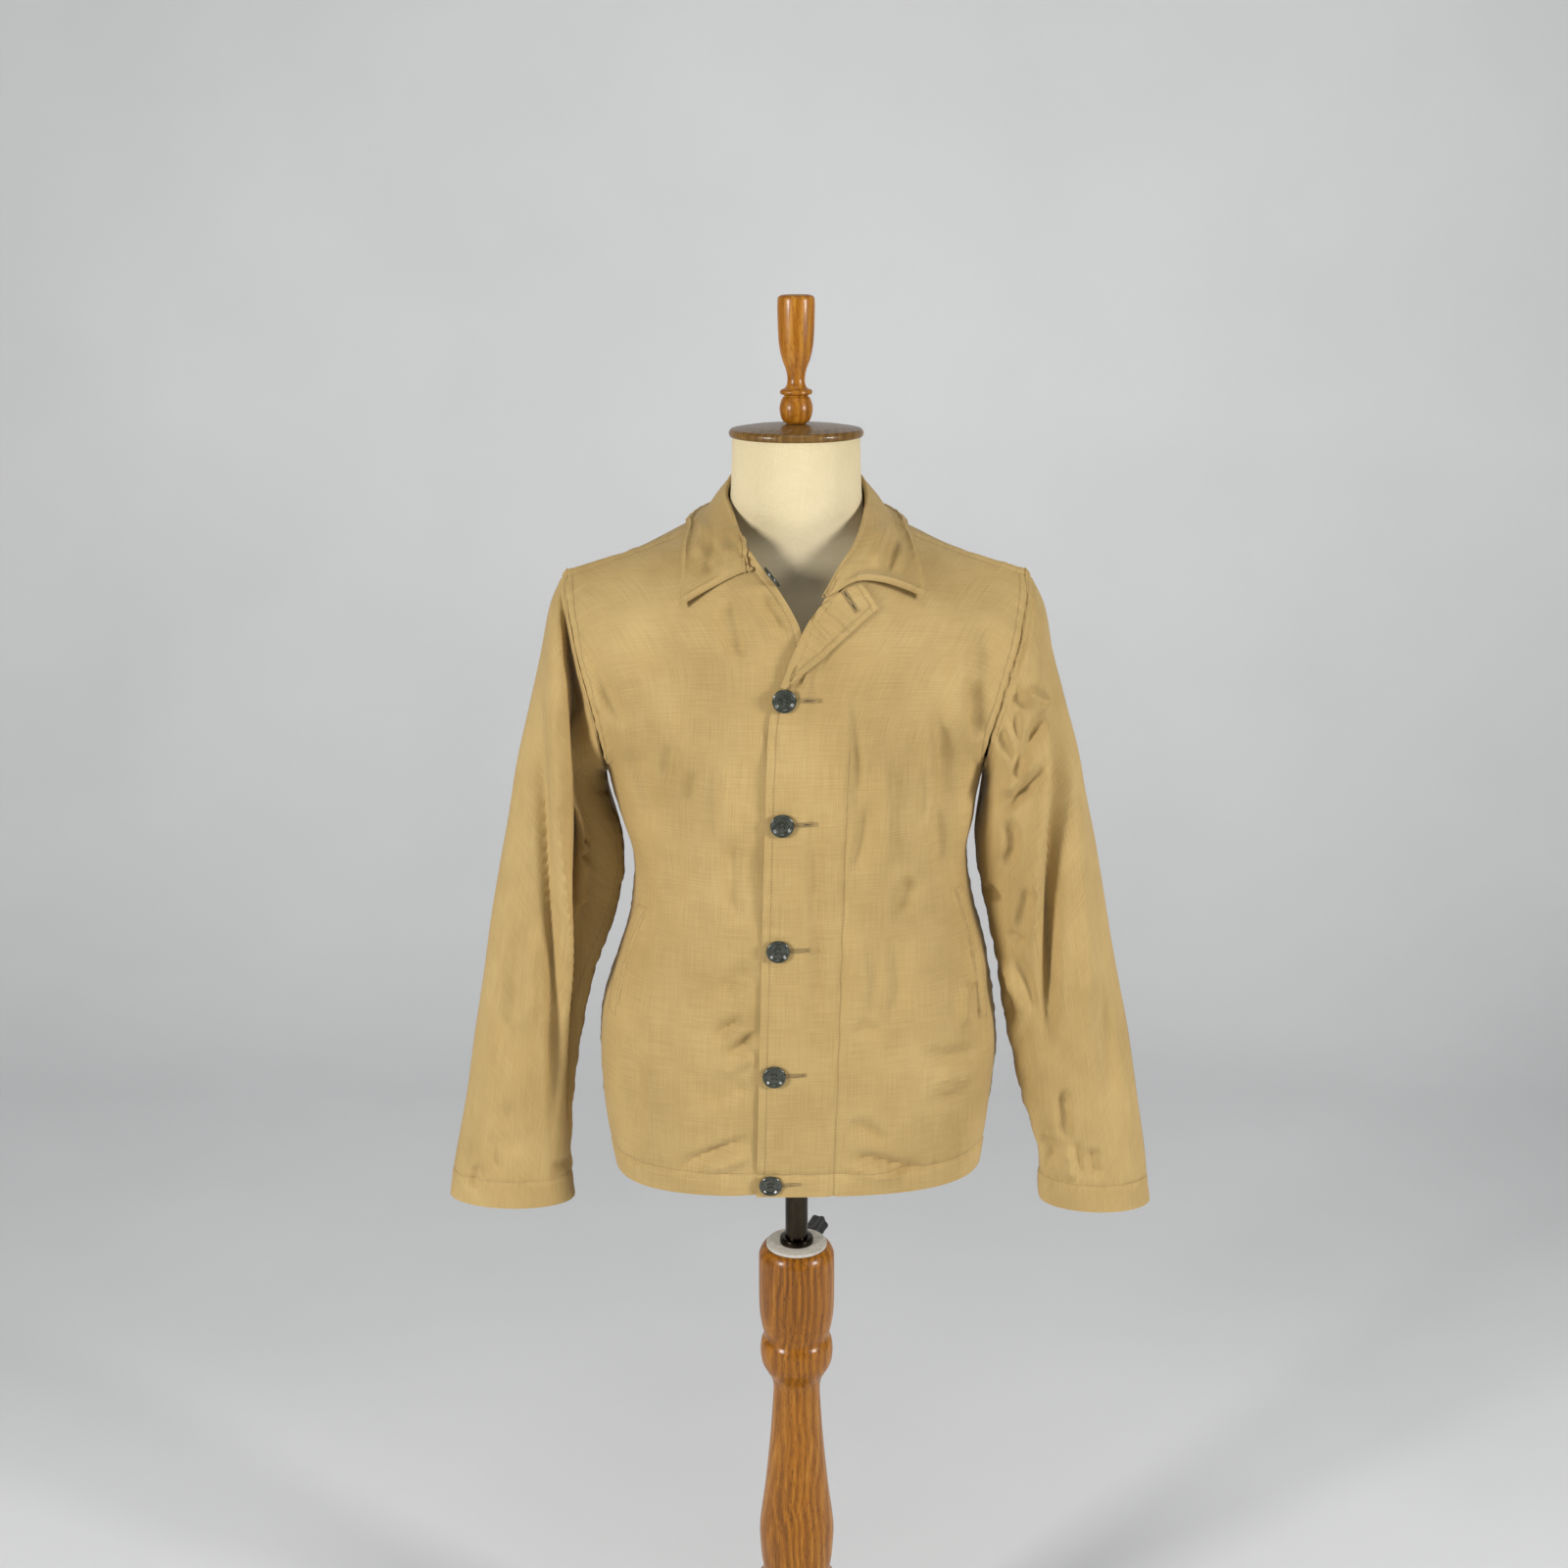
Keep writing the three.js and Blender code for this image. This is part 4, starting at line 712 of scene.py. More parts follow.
def wood_material(name, dark, middle, light, gloss=0.32):
    """Turned beech: long vertical grain, cathedral figure and small flecks, under a satin varnish."""
    material, tree, shader, place = base_material(
        name, Coat_Weight=0.25, Coat_Roughness=0.14, Specular_IOR_Level=0.2)
    warp = stretched_noise(tree, place, (9, 9, 2.2), 3, 0.55)
    mixed = tree.nodes.new("ShaderNodeMix")
    mixed.data_type = "VECTOR"
    mixed.inputs["Factor"].default_value = 0.035
    link(tree, place, mixed.inputs["A"])
    noise_colour = node(tree, "ShaderNodeTexNoise", Scale=7)
    link(tree, place, noise_colour.inputs["Vector"])
    link(tree, noise_colour.outputs["Color"], mixed.inputs["B"])
    stretch = node(tree, "ShaderNodeMapping", Scale=(1, 1, 0.11), Location=(0.03, 0.02, 0))
    link(tree, mixed.outputs["Result"], stretch.inputs["Vector"])
    rings = node(tree, "ShaderNodeTexWave", wave_type="RINGS", rings_direction="Z",
                 Scale=42, Distortion=5.5, Detail=3, Detail_Scale=1.4)
    link(tree, stretch.outputs[0], rings.inputs["Vector"])
    fibres = stretched_noise(tree, place, (520, 520, 14), 3, 0.6)
    flecks = stretched_noise(tree, place, (900, 900, 120), 1, 0.4)
    tone = total(tree, product(tree, rings.outputs["Fac"], 0.13), product(tree, warp, 0.5))
    tone = total(tree, tone, product(tree, fibres, 0.42))
    speck = product(tree, math_node(tree, "GREATER_THAN", flecks, 0.66), -0.12)
    tone = total(tree, tone, speck)
    finish_coat(tree, shader, tone, ((0.3, dark), (0.52, middle), (0.75, light)), fibres, 0.15, gloss)
    bump(tree, shader, total(tree, fibres, speck), 0.0002, 0.6)
    return material


def plastic_material(name, dark, light, rough, bump_depth=0.00008, **constants):
    material, tree, shader, place = base_material(name, **constants)
    cloud = stretched_noise(tree, place, (190, 190, 190), 4, 0.6)
    scratch = stretched_noise(tree, place, (1400, 260, 700), 2, 0.5)
    finish_coat(tree, shader, cloud, ((0.3, dark), (0.7, light)), scratch, 0.18, rough)
    bump(tree, shader, scratch, bump_depth, 0.6)
    return material


def thread_material(name, dark, light):
    material, tree, shader, place = base_material(
        name, Sheen_Weight=0.3, Sheen_Roughness=0.4, Specular_IOR_Level=0.35)
    ply = stretched_noise(tree, place, (2600, 2600, 2600), 2, 0.5)
    finish_coat(tree, shader, ply, ((0.35, dark), (0.65, light)), ply, 0.2, 0.5)
    bump(tree, shader, ply, 0.0001)
    return material


def steel_material():
    material, tree, shader, place = base_material("dark_chrome", Metallic=1.0)
    cloud = stretched_noise(tree, place, (60, 60, 18), 4, 0.6)
    brushed = stretched_noise(tree, place, (40, 40, 2400), 2, 0.5)
    stops = ((0.3, (0.02, 0.015, 0.01)), (0.7, (0.05, 0.04, 0.028)))
    finish_coat(tree, shader, cloud, stops, brushed, 0.16, 0.13)
    bump(tree, shader, brushed, 0.00003, 0.4)
    return material


KHAKI_DARK = (0.345, 0.232, 0.082)
KHAKI = (0.42, 0.29, 0.112)
KHAKI_LIGHT = (0.49, 0.35, 0.145)
cloth = cloth_material("khaki_cotton", KHAKI_DARK, KHAKI, KHAKI_LIGHT)
CREAM_DARK = (0.62, 0.52, 0.31)
CREAM = (0.67, 0.57, 0.36)
CREAM_LIGHT = (0.72, 0.62, 0.42)
canvas = cloth_material("cream_cover", CREAM_DARK, CREAM, CREAM_LIGHT, 0.9, 0.0002)
khaki_thread = thread_material("khaki_thread", (0.24, 0.16, 0.06), (0.42, 0.3, 0.13))
# Near-black strip material for the buttonhole slits: painted shadow in the opening, not a thread colour.
painted_slit_shadow = thread_material("painted_slit_shadow", (0.012, 0.008, 0.003), (0.04, 0.026, 0.01))
dark_thread = thread_material("dark_thread", (0.02, 0.02, 0.015), (0.06, 0.055, 0.04))
beech = wood_material("varnished_beech", (0.11, 0.036, 0.003), (0.3, 0.108, 0.007), (0.5, 0.235, 0.03))
stained = wood_material(
    "stained_cap", (0.07, 0.032, 0.007), (0.15, 0.078, 0.018), (0.27, 0.155, 0.045), 0.28)
resin = plastic_material("olive_resin", (0.012, 0.015, 0.01), (0.05, 0.055, 0.04), 0.16, Coat_Weight=0.4)
moulded = plastic_material("black_plastic", (0.008, 0.008, 0.008), (0.022, 0.022, 0.021), 0.42, 0.00015)
washer = plastic_material("grey_washer", (0.4, 0.38, 0.34), (0.56, 0.54, 0.49), 0.5, 0.0001)
steel = steel_material()


# Jacket panels
def side_points(hand, is_front, t):
    half = spline(SIDE["left" if hand > 0 else "right"], t)
    own = [spline(SIDE[("front" if is_front else "back") + axis], t) for axis in "YZ"]
    shared = [(spline(SIDE["front" + axis], t) + spline(SIDE["back" + axis], t)) / 2 for axis in "YZ"]
    y, z = (np.where(t > UNDERARM_ROW, a, b) for a, b in zip(own, shared))
    return np.stack([hand * half, y, z], -1)


def front_surface(hand, t, s):
    edge = triple(FRONT, "lx ly lz" if hand > 0 else "rx ry rz", t)
    side = side_points(hand, True, t)
    edge_pull = triple(FRONT, "ex ey ez", t, hand)
    if hand < 0:
        edge_pull = edge_pull * (LAP_SHORTENING, 1, 1)
    return bezier(edge, edge + edge_pull, side + triple(FRONT, "sx sy sz", t, hand), side, s)


def back_surface(hand, t, s):
    centre = triple(BACK, "x y z", t, hand)
    side = side_points(hand, False, t)
    from_centre = centre + triple(BACK, "ex ey ez", t, hand)
    centre = np.where((t > NECK_ROW)[..., None], centre, centre * (0, 1, 1))
    return bezier(centre, from_centre, side + triple(BACK, "sx sy sz", t, hand), side, s)


def panel_steps():
    t = np.linspace(0, LAST_ROW, PANEL_ROWS + 1)[:, None]
    s = np.linspace(0, 1, PANEL_COLUMNS + 1)[None, :]
    return t, s


# Folds as (width, depth, line of x and z seen from the front or back); ridges have a plus depth.
# The first few of each list are the solids' own.
FRONT_CREASES = [
    (24, 3.2, -178, 1230, -150, 1130, -120, 1040),
    (20, -3.2, -160, 1130, -130, 1075, -105, 1030),
    (12, -2.4, -90, 930, -66, 956, -45, 985),
    (14, -2.2, -105, 830, -76, 852, -45, 880),
    (20, 3, 180, 1180, 166, 1120, 150, 1060),
    (7, -1.8, -62, 1325, -56, 1297, -50, 1262),
    (6, -1.3, -72, 1315, -68, 1292, -64, 1268),
    (7, -2.4, -36, 1328, -18, 1309, -6, 1290),
    (22, -3.2, -157, 1295, -120, 1273, -80, 1248),
    (9, -2.6, -201, 1253, -184, 1225, -158, 1194),
    (10, 2.4, -209, 1275, -195, 1241, -175, 1200),
    (8, -1.6, -117, 1188, -120, 1165, -124, 1144),
    (8, -1.5, -96, 1165, -99, 1144, -102, 1125),
    (12, 2.2, -127, 1238, -111, 1184, -102, 1120),
    (10, -1.8, -159, 1177, -145, 1140, -133, 1094),
    (9, -2.0, -38, 975, -55, 959, -73, 940),
    (7, -3.0, -52, 920, -67, 910, -82, 896),
    (8, -2.8, -36, 906, -53, 893, -68, 878),
    (9, -1.8, -42, 852, -65, 838, -88, 824),
    (7, -3.2, -44, 794, -77, 779, -106, 763, -121, 748),
    (7, 2.0, -44, 776, -68, 764, -92, 755),
    (9, 1.8, -41, 885, -57, 872, -76, 858),
    (16, -2.4, -113, 1069, -123, 1017, -135, 962),
    (12, 2.0, -143, 937, -140, 889, -144, 827),
    (10, -1.8, -164, 882, -162, 832, -155, 791),
    (7, 1.6, -70, 1180, -66, 1130, -68, 1080),
    (9, -1.4, -58, 1110, -60, 1060, -56, 1010),
    (5, -1.2, 7, 1257, 0, 1247, -6, 1236),
    (4, -1, 17, 1264, 16, 1248, 15, 1230),
    (4, -0.9, 26, 1275, 27, 1261, 26, 1244),
    (4, 0.7, 12, 1261, 9, 1245, 7, 1231),
    (6, -0.9, -20, 1210, -21, 1190, -12, 1160),
    (6, -0.8, 14, 1238, 13, 1201, 15, 1156),
    (6, -1, 51, 1203, 55, 1162, 56, 1100),
    (6, 1.3, 44, 1246, 46, 1190, 45, 1125),
    (7, -1.8, 67, 1137, 60, 1099, 52, 1059),
    (6, -1.8, 24, 1140, 22, 1078, 21, 1020, 22, 950, 23, 885),
    (5, -1.1, 12, 1134, 15, 1075, 14, 1012),
    (14, -3.2, 176, 1298, 172, 1258, 169, 1216),
    (12, 2.6, 158, 1289, 153, 1237, 151, 1178),
    (10, -2.6, 162, 1243, 167, 1211, 170, 1173),
    (9, -2.0, 132, 1225, 139, 1162, 142, 1099),
    (8, 1.8, 123, 1212, 127, 1143, 125, 1086),
    (8, -1.6, 119, 1163, 121, 1133, 119, 1100),
    (7, -2.0, 133, 1125, 137, 1086, 138, 1050),
    (10, -2.2, 110, 1057, 102, 1036, 97, 1012),
    (8, -2.4, 125, 875, 152, 867, 183, 863),
    (7, -2.0, 131, 832, 149, 824, 172, 822),
    (8, 1.8, 133, 851, 155, 842, 180, 837),
    (8, -1.6, 58, 917, 68, 908, 82, 900),
    (9, -2.4, 48, 810, 68, 799, 90, 781),
    (7, -3.0, 49, 772, 86, 760, 130, 745),
    (7, 2.0, 49, 758, 76, 750, 111, 742),
    (8, 2.8, 164, 942, 162, 917, 166, 889),
    (7, -2.6, 174, 936, 172, 914, 174, 890),
    (9, 1.6, 80, 1180, 84, 1110, 80, 1050),
    (11, -1.6, 92, 1000, 96, 950, 90, 905),
    (10, 1.4, 60, 1010, 64, 960, 62, 915),
]
BACK_CREASES = [
    (20, 4, -175, 1190, -150, 1135, -120, 1090),
    (20, 4, 175, 1190, 150, 1140, 120, 1090),
    (22, -3, -60, 1010, 10, 992, 80, 980),
    (9, -2.6, -186, 1240, -172, 1195, -168, 1150),
    (9, -2.8, 190, 1236, 176, 1190, 171, 1140),
    (14, -2.4, -150, 1285, -120, 1240, -100, 1180),
    (13, -2.2, 148, 1280, 126, 1232, 96, 1176),
    (10, 1.8, -60, 1230, -58, 1160, -66, 1090),
    (9, -1.6, 40, 1210, 46, 1150, 42, 1085),
    (8, -1.5, -24, 1180, -20, 1120, -26, 1070),
    (10, -2.4, -150, 1030, -110, 1012, -70, 1006),
    (9, -2.2, 152, 1040, 118, 1020, 84, 1016),
    (11, 2.0, -130, 975, -90, 960, -40, 965),
    (12, 1.8, 40, 955, 90, 948, 140, 958),
    (9, -2.0, -160, 900, -130, 850, -120, 800),
    (10, -2.2, 158, 905, 136, 848, 128, 795),
    (8, 1.6, -60, 880, -54, 830, -58, 780),
    (9, -1.6, 20, 890, 26, 830, 22, 775),
    (7, 1.5, 70, 860, 74, 815, 70, 772),
    (8, -2.2, -40, 1345, 0, 1338, 40, 1345),
]


def relief_fade(up, along):
    top, side = up[-1:] - up, along[:, -1:] - along
    return smooth(up / HEM_FADE) * smooth(top / SHOULDER_FADE) * smooth(side / SIDE_FADE)


def undulation(seed, along, up):
    """The slight unevenness of cotton that has been washed and hung."""
    broad = noise(seed, along / 46, up / 70)
    fine = noise(seed + 1, along / 15, up / 38)
    tiny = noise(seed + 2, along / 7, up / 9)
    return 0.7 * broad + 0.3 * fine + 0.07 * tiny


def eased(grid):
    """Rounds the turn below the underarm, but keeps the seam where it is."""
    along = lengths(grid, 1)
    inside = smooth((along[:, -1:] - along) / 40)
    near = np.exp(-((grid[..., 2] - UNDERARM_HEIGHT) / 80) ** 2)
    return grid + (soften(grid, 170) - grid) * (inside * near)[..., None]


def front_panel(hand):
    t, s = panel_steps()
    grid = eased(front_surface(hand, t, s))
    normals = normals_of(grid, hand)
    up, along = lengths(grid, 0), lengths(grid, 1)
    x, z = grid[..., 0], grid[..., 2]
    lift = creases(x, z, FRONT_CREASES) + undulation(11 if hand > 0 else 14, along, up)
    return *raised(grid, normals, lift * relief_fade(up, along), hand), up, along


def seam_relief(up, along, hand):
    """Hem, edge and seams of a front: doubled cloth, stitch grooves and puckers."""
    side = along[:, -1:] - along
    top = up[-1:] - up
    seed = 20 if hand > 0 else 30
    lift = 0.9 * smooth((HEM - up) / 1.5)
    lift += groove(up - HEM, 1.7, 0.8) + pucker(seed, along, up - HEM, 9, 0.5, 12)
    lift += groove(along - EDGE_STITCH, 1.4, 0.5) + pucker(seed + 2, up, along - EDGE_STITCH, 7, 0.5, 9)
    lift += groove(side, 2.2, 0.8) + groove(side - SEAM_STITCH, 1.4, 0.35)
    lift += 0.7 * smooth((SEAM_STITCH + 1.5 - side) / 1.5) * smooth(side / 2)
    lift += pucker(seed + 4, up, side - 3, 8, 0.5, 12)
    lift += groove(top - SEAM_STITCH, 1.4, 0.35) + pucker(seed + 6, along, top - 3, 9, 0.4, 11)
    lift += 0.5 * smooth((SEAM_STITCH + 1.5 - top) / 1.5) * smooth(top / 2)
    return lift


left_grid, left_normals, left_up, left_along = front_panel(1)
facing_fade = smooth((FACING_TOP - left_grid[..., 2]) / FACING_FADE)
facing_lift = groove(left_along - FACING_WIDTH, 1.8, 0.8) * facing_fade
facing_lift += pucker(44, left_up, left_along - FACING_WIDTH, 10, 0.35, 10) * facing_fade
# Between its buttons the left front's edge stands off a little.
edge_height = left_grid[:, 0, 2]
slack = 1 - np.max([np.exp(-((edge_height - z) / SLACK_REACH) ** 2) for _, z in BUTTONS], axis=0)
slack = slack * smooth((SLACK_TOP - edge_height) / SLACK_FADE)
slack = slack[:, None] * (1 - smooth(left_along / SLACK_REACH))
left_lift = seam_relief(left_up, left_along, 1) + facing_lift + SLACK_LIFT * slack
left_grid, left_normals = raised(left_grid, left_normals, left_lift, 1)

right_grid, right_normals, right_up, right_along = front_panel(-1)
lap_edge = left_grid[:, :1, 0]
under = smooth((right_grid[..., 0] - lap_edge + LAP_RAMP) / LAP_RAMP)
under = under * smooth((LAP_TOP - right_grid[..., 2]) / LAP_RAMP)
right_lift = seam_relief(right_up, right_along, -1) * (1 - under) - LAP_SINK * under
right_grid, right_normals = raised(right_grid, right_normals, right_lift, -1)

front_left = shell("front_left_cloth", left_grid, left_normals, CLOTH, left_along, left_up)
front_right = shell("front_right_cloth", right_grid, right_normals, CLOTH, right_along, right_up, outward=-1)


def back_panel():
    """Both halves side by side on one centre line: columns run from the right side to the left one."""
    t, s = panel_steps()
    halves = []
    for hand in (-1, 1):
        grid = eased(back_surface(hand, t, s))
        normals = normals_of(grid, -hand)
        up, along = lengths(grid, 0), lengths(grid, 1)
        lift = creases(grid[..., 0], grid[..., 2], BACK_CREASES)
        lift += undulation(17, grid[..., 0] + 300, grid[..., 2] - 700)
        lift *= relief_fade(up, along)
        side, top = along[:, -1:] - along, up[-1:] - up
        seed = 50 if hand > 0 else 60
        lift += 0.5 * smooth((HEM - up) / 1.5) + groove(up - HEM, 1.6, 0.45)
        lift += pucker(55, grid[..., 0], up - HEM, 9, 0.42, 11)
        lift += groove(side, 2.2, 0.8) + pucker(seed + 4, up, side - 3, 8, 0.5, 12)
        lift += groove(top, 2.2, 0.8) + pucker(seed + 6, along, top, 9, 0.4, 11)
        halves.append((grid + normals * lift[..., None], up, along))
    (right, right_up, right_along), (left, left_up, left_along) = halves
    grid = np.concatenate([right[:, ::-1], left], 1)
    up = np.concatenate([right_up[:, ::-1], left_up], 1)
    along = np.concatenate([-right_along[:, ::-1], left_along], 1)
    return grid, up, along


back_grid, back_up, back_along = back_panel()
parting = int(NECK_ROW / LAST_ROW * PANEL_ROWS)
middle = PANEL_COLUMNS


def make_back():
    """One piece; above the neck seam's middle its two sides part."""
    rows, columns = back_grid.shape[:2]
    welded = back_grid.copy()
    welded[:parting + 1, middle] = welded[:parting + 1, middle + 1]
    joined = np.delete(welded, middle, 1)
    joined_normals = normals_of(joined, -1)
    left = normals_of(back_grid[:, :middle + 1], -1)
    right = normals_of(back_grid[:, middle + 1:], -1)
    normals = np.concatenate([left, right], 1)
    normals[:parting + 1, :middle + 1] = joined_normals[:parting + 1, :middle + 1]
    normals[:parting + 1, middle + 1:] = joined_normals[:parting + 1, middle:]
    welded[:parting + 1, middle:middle + 2, 0] = 0
    n = rows * columns
    index = np.arange(n).reshape(rows, columns)
    index[:parting + 1, middle + 1] = index[:parting + 1, middle]
    points = np.concatenate([welded.reshape(-1, 3), (welded - normals * CLOTH).reshape(-1, 3)])
    faces = []
    for low, high in ((0, middle + 1), (middle + 1, columns)):
        part = index[:, low:high]
        outer = np.stack([part[:-1, :-1], part[:-1, 1:], part[1:, 1:], part[1:, :-1]], -1).reshape(-1, 4)
        faces += [outer[:, ::-1], outer + n]
        faces += [rim_faces(part[0], part[0] + n, True), rim_faces(part[-1], part[-1] + n)]
    faces += [rim_faces(index[:, 0], index[:, 0] + n), rim_faces(index[:, -1], index[:, -1] + n, True)]
    slit = index[parting:]
    faces.append(rim_faces(slit[:, middle], slit[:, middle] + n, True))
    faces.append(rim_faces(slit[:, middle + 1], slit[:, middle + 1] + n))
    uv = np.tile(np.stack([back_along, back_up], -1).reshape(-1, 2), (2, 1)) * MM
    return new_object("back_cloth", points, np.concatenate(faces).tolist(), cloth, uv=uv), welded, normals


back, back_grid, back_normals = make_back()


# Sleeves
def armhole(hand, sides):
    f = 2 * np.arange(sides) / sides
    t = LAST_ROW - (LAST_ROW - UNDERARM_ROW) * np.where(f <= 1, f, 2 - f)
    return np.where((f <= 1)[:, None], side_points(hand, True, t), side_points(hand, False, t))


def sleeve_oval(rows, hand, t, angle):
    outer, inner = (np.stack([hand * spline(rows[k + "x"], t), 0 * t, spline(rows[k + "z"], t)], -1)
                    for k in "oi")
    front, rear = spline(rows["front"], t), spline(rows["back"], t)
    point = (outer + inner) / 2 + (outer - inner) / 2 * np.cos(angle)[..., None]
    point[..., 1] = (front + rear) / 2 + (front - rear) / 2 * np.sin(angle)
    return point


SLEEVE_LEFT_CREASES = [
    (13, -5.5, 250, 1120, 249, 1060, 247, 980, 246, 900, 248, 840),
    (9, -5, 227, 1295, 237, 1248, 245, 1201, 249, 1154, 246, 1097, 243, 1039, 243, 964, 247, 884, 248, 825),
    (8, 3.2, 231, 1231, 237, 1175, 235, 1088, 232, 1008, 234, 935),
    (12, 4, 262, 1240, 270, 1100, 282, 960, 290, 820),
    (8, 2.5, 221, 1316, 214, 1269, 207, 1235),
    (6, -2, 201, 1240, 207, 1226, 213, 1216, 221, 1205),
    (6, -2.8, 203, 1226, 206, 1190, 210, 1165, 209, 1125, 205, 1100),
    (8, 4, 215, 1228, 225, 1219, 241, 1211),
    (7, -3.8, 242, 1209, 231, 1193, 222, 1177, 213, 1156),
    (8, -3.6, 191, 1100, 208, 1120, 222, 1133, 240, 1166),
    (9, 3.8, 197, 1124, 212, 1142, 228, 1168),
    (6, -2.2, 186, 1192, 194, 1178, 203, 1160, 208, 1150),
    (7, -3.2, 199, 1103, 206, 1079, 205, 1063, 198, 1045),
    (6, -2.8, 184, 1024, 191, 1020, 198, 1008),
    (8, -2.8, 226, 1036, 221, 1009, 216, 980),
    (6, -2.2, 205, 976, 214, 978, 224, 970),
    (8, 3.2, 205, 952, 216, 926, 226, 893),
    (6, -2.8, 215, 956, 225, 922, 232, 890),
    (7, -2.8, 266, 821, 269, 790, 272, 757),
    (6, -2.4, 253, 760, 256, 743, 261, 726),
    (6, -1.9, 281, 762, 284, 740, 289, 715),
    (6, 2.4, 274, 754, 277, 733, 281, 714),
    (7, -2.2, 295, 756, 298, 735, 303, 713),
    (10, -2.0, 300, 930, 312, 850, 318, 780),
    (13, 1.8, 330, 860, 336, 800, 340, 750),
]
SLEEVE_RIGHT_CREASES = [
    (9, 4.5, -231, 1283, -228, 1231, -227, 1175, -225, 1078, -222, 976, -226, 880),
    (8, -4.2, -241, 1210, -244, 1135, -243, 1077, -240, 1018, -239, 946, -242, 838, -247, 738),
    (12, -3.6, -264, 1021, -271, 975, -282, 897, -293, 850),
    (10, 2.6, -258, 997, -262, 936, -266, 873),
    (10, -2.2, -292, 809, -289, 777, -283, 737),
    (7, -2.2, -249, 728, -235, 727, -227, 731),
    (8, -2, -321, 735, -328, 718, -333, 703),
    (5, 2.0, -196, 1062, -185, 1063, -174, 1064),
    (5, -2.2, -198, 1052, -186, 1051, -174, 1051),
    (6, 2.0, -198, 997, -189, 1003, -180, 1005),
    (6, -2, -184, 1080, -178, 1058, -174, 1033),
    (12, 3.0, -262, 1230, -272, 1120, -286, 1020),
    (14, 2.4, -276, 860, -280, 790, -276, 740),
    (7, -1.8, -300, 770, -303, 745, -300, 722),
]
# The right sleeve's front part hangs in front of its inner part along this line.
LEDGE = (
    (-229, 1318), (-225, 1285), (-220, 1240), (-217, 1190), (-215, 1137), (-216, 1078),
    (-219, 1005), (-223, 928), (-228, 859), (-234, 780), (-238, 722),
)
# The left sleeve's inner seam where it comes round to the front: heights, then x.
INNER_SEAM = ((660, 738, 807, 915, 960), (258, 255, 235, 210, 203))
SLEEVE_LEFT_BACK = [
    (14, -4, 230, 1220, 250, 1120, 270, 980),
    (11, 3.5, 205, 1130, 228, 1092, 250, 1060),
    (13, -4, 215, 1010, 240, 984, 265, 960),
    (16, 3, 290, 900, 296, 830, 300, 760),
    (8, -3.2, 200, 1190, 222, 1165, 244, 1150),
    (9, -2.8, 205, 1085, 226, 1040, 236, 1000),
    (10, -2.4, 310, 960, 316, 880, 320, 800),
    (7, -2.4, 260, 760, 264, 738, 262, 712),
    (7, 2.2, 282, 765, 285, 740, 290, 715),
    (7, -2.2, 304, 760, 306, 738, 312, 712),
]
SLEEVE_RIGHT_BACK = [
    (15, -4, -225, 1230, -246, 1100, -262, 950),
    (10, 3.5, -200, 1110, -222, 1080, -245, 1050),
    (14, -4, -212, 1000, -236, 966, -262, 930),
    (16, 3, -285, 890, -294, 820, -300, 750),
    (8, -3.0, -204, 1180, -224, 1160, -246, 1140),
    (9, -2.6, -205, 1060, -222, 1020, -230, 975),
    (10, -2.4, -306, 950, -312, 870, -318, 790),
    (7, -2.4, -250, 770, -252, 745, -248, 718),
    (7, 2.2, -272, 768, -276, 742, -280, 718),
    (7, -2.2, -300, 762, -304, 740, -310, 716),
]


def ledge(x, z):
    """Pushes back the cloth on the inner side of the ledge, within a short run."""
    points = np.array(LEDGE, float)[::-1]
    edge = np.interp(z, points[:, 1], points[:, 0])
    ends = smooth((z - points[0, 1]) / 150) * smooth((points[-1, 1] - z) / 35)
    back = LEDGE_RETURN * smooth((x - edge - 18) / 12) * smooth((z - 975) / 70)
    inner = smooth((x - edge) / LEDGE_RUN) - back
    lip = np.exp(-(((x - edge) + 5) / 6) ** 2)
    valley = np.exp(-((x - edge - 11) / 6) ** 2)
    return ends * (LIP_LIFT * lip - LEDGE_DROP * inner - VALLEY_DEPTH * valley)


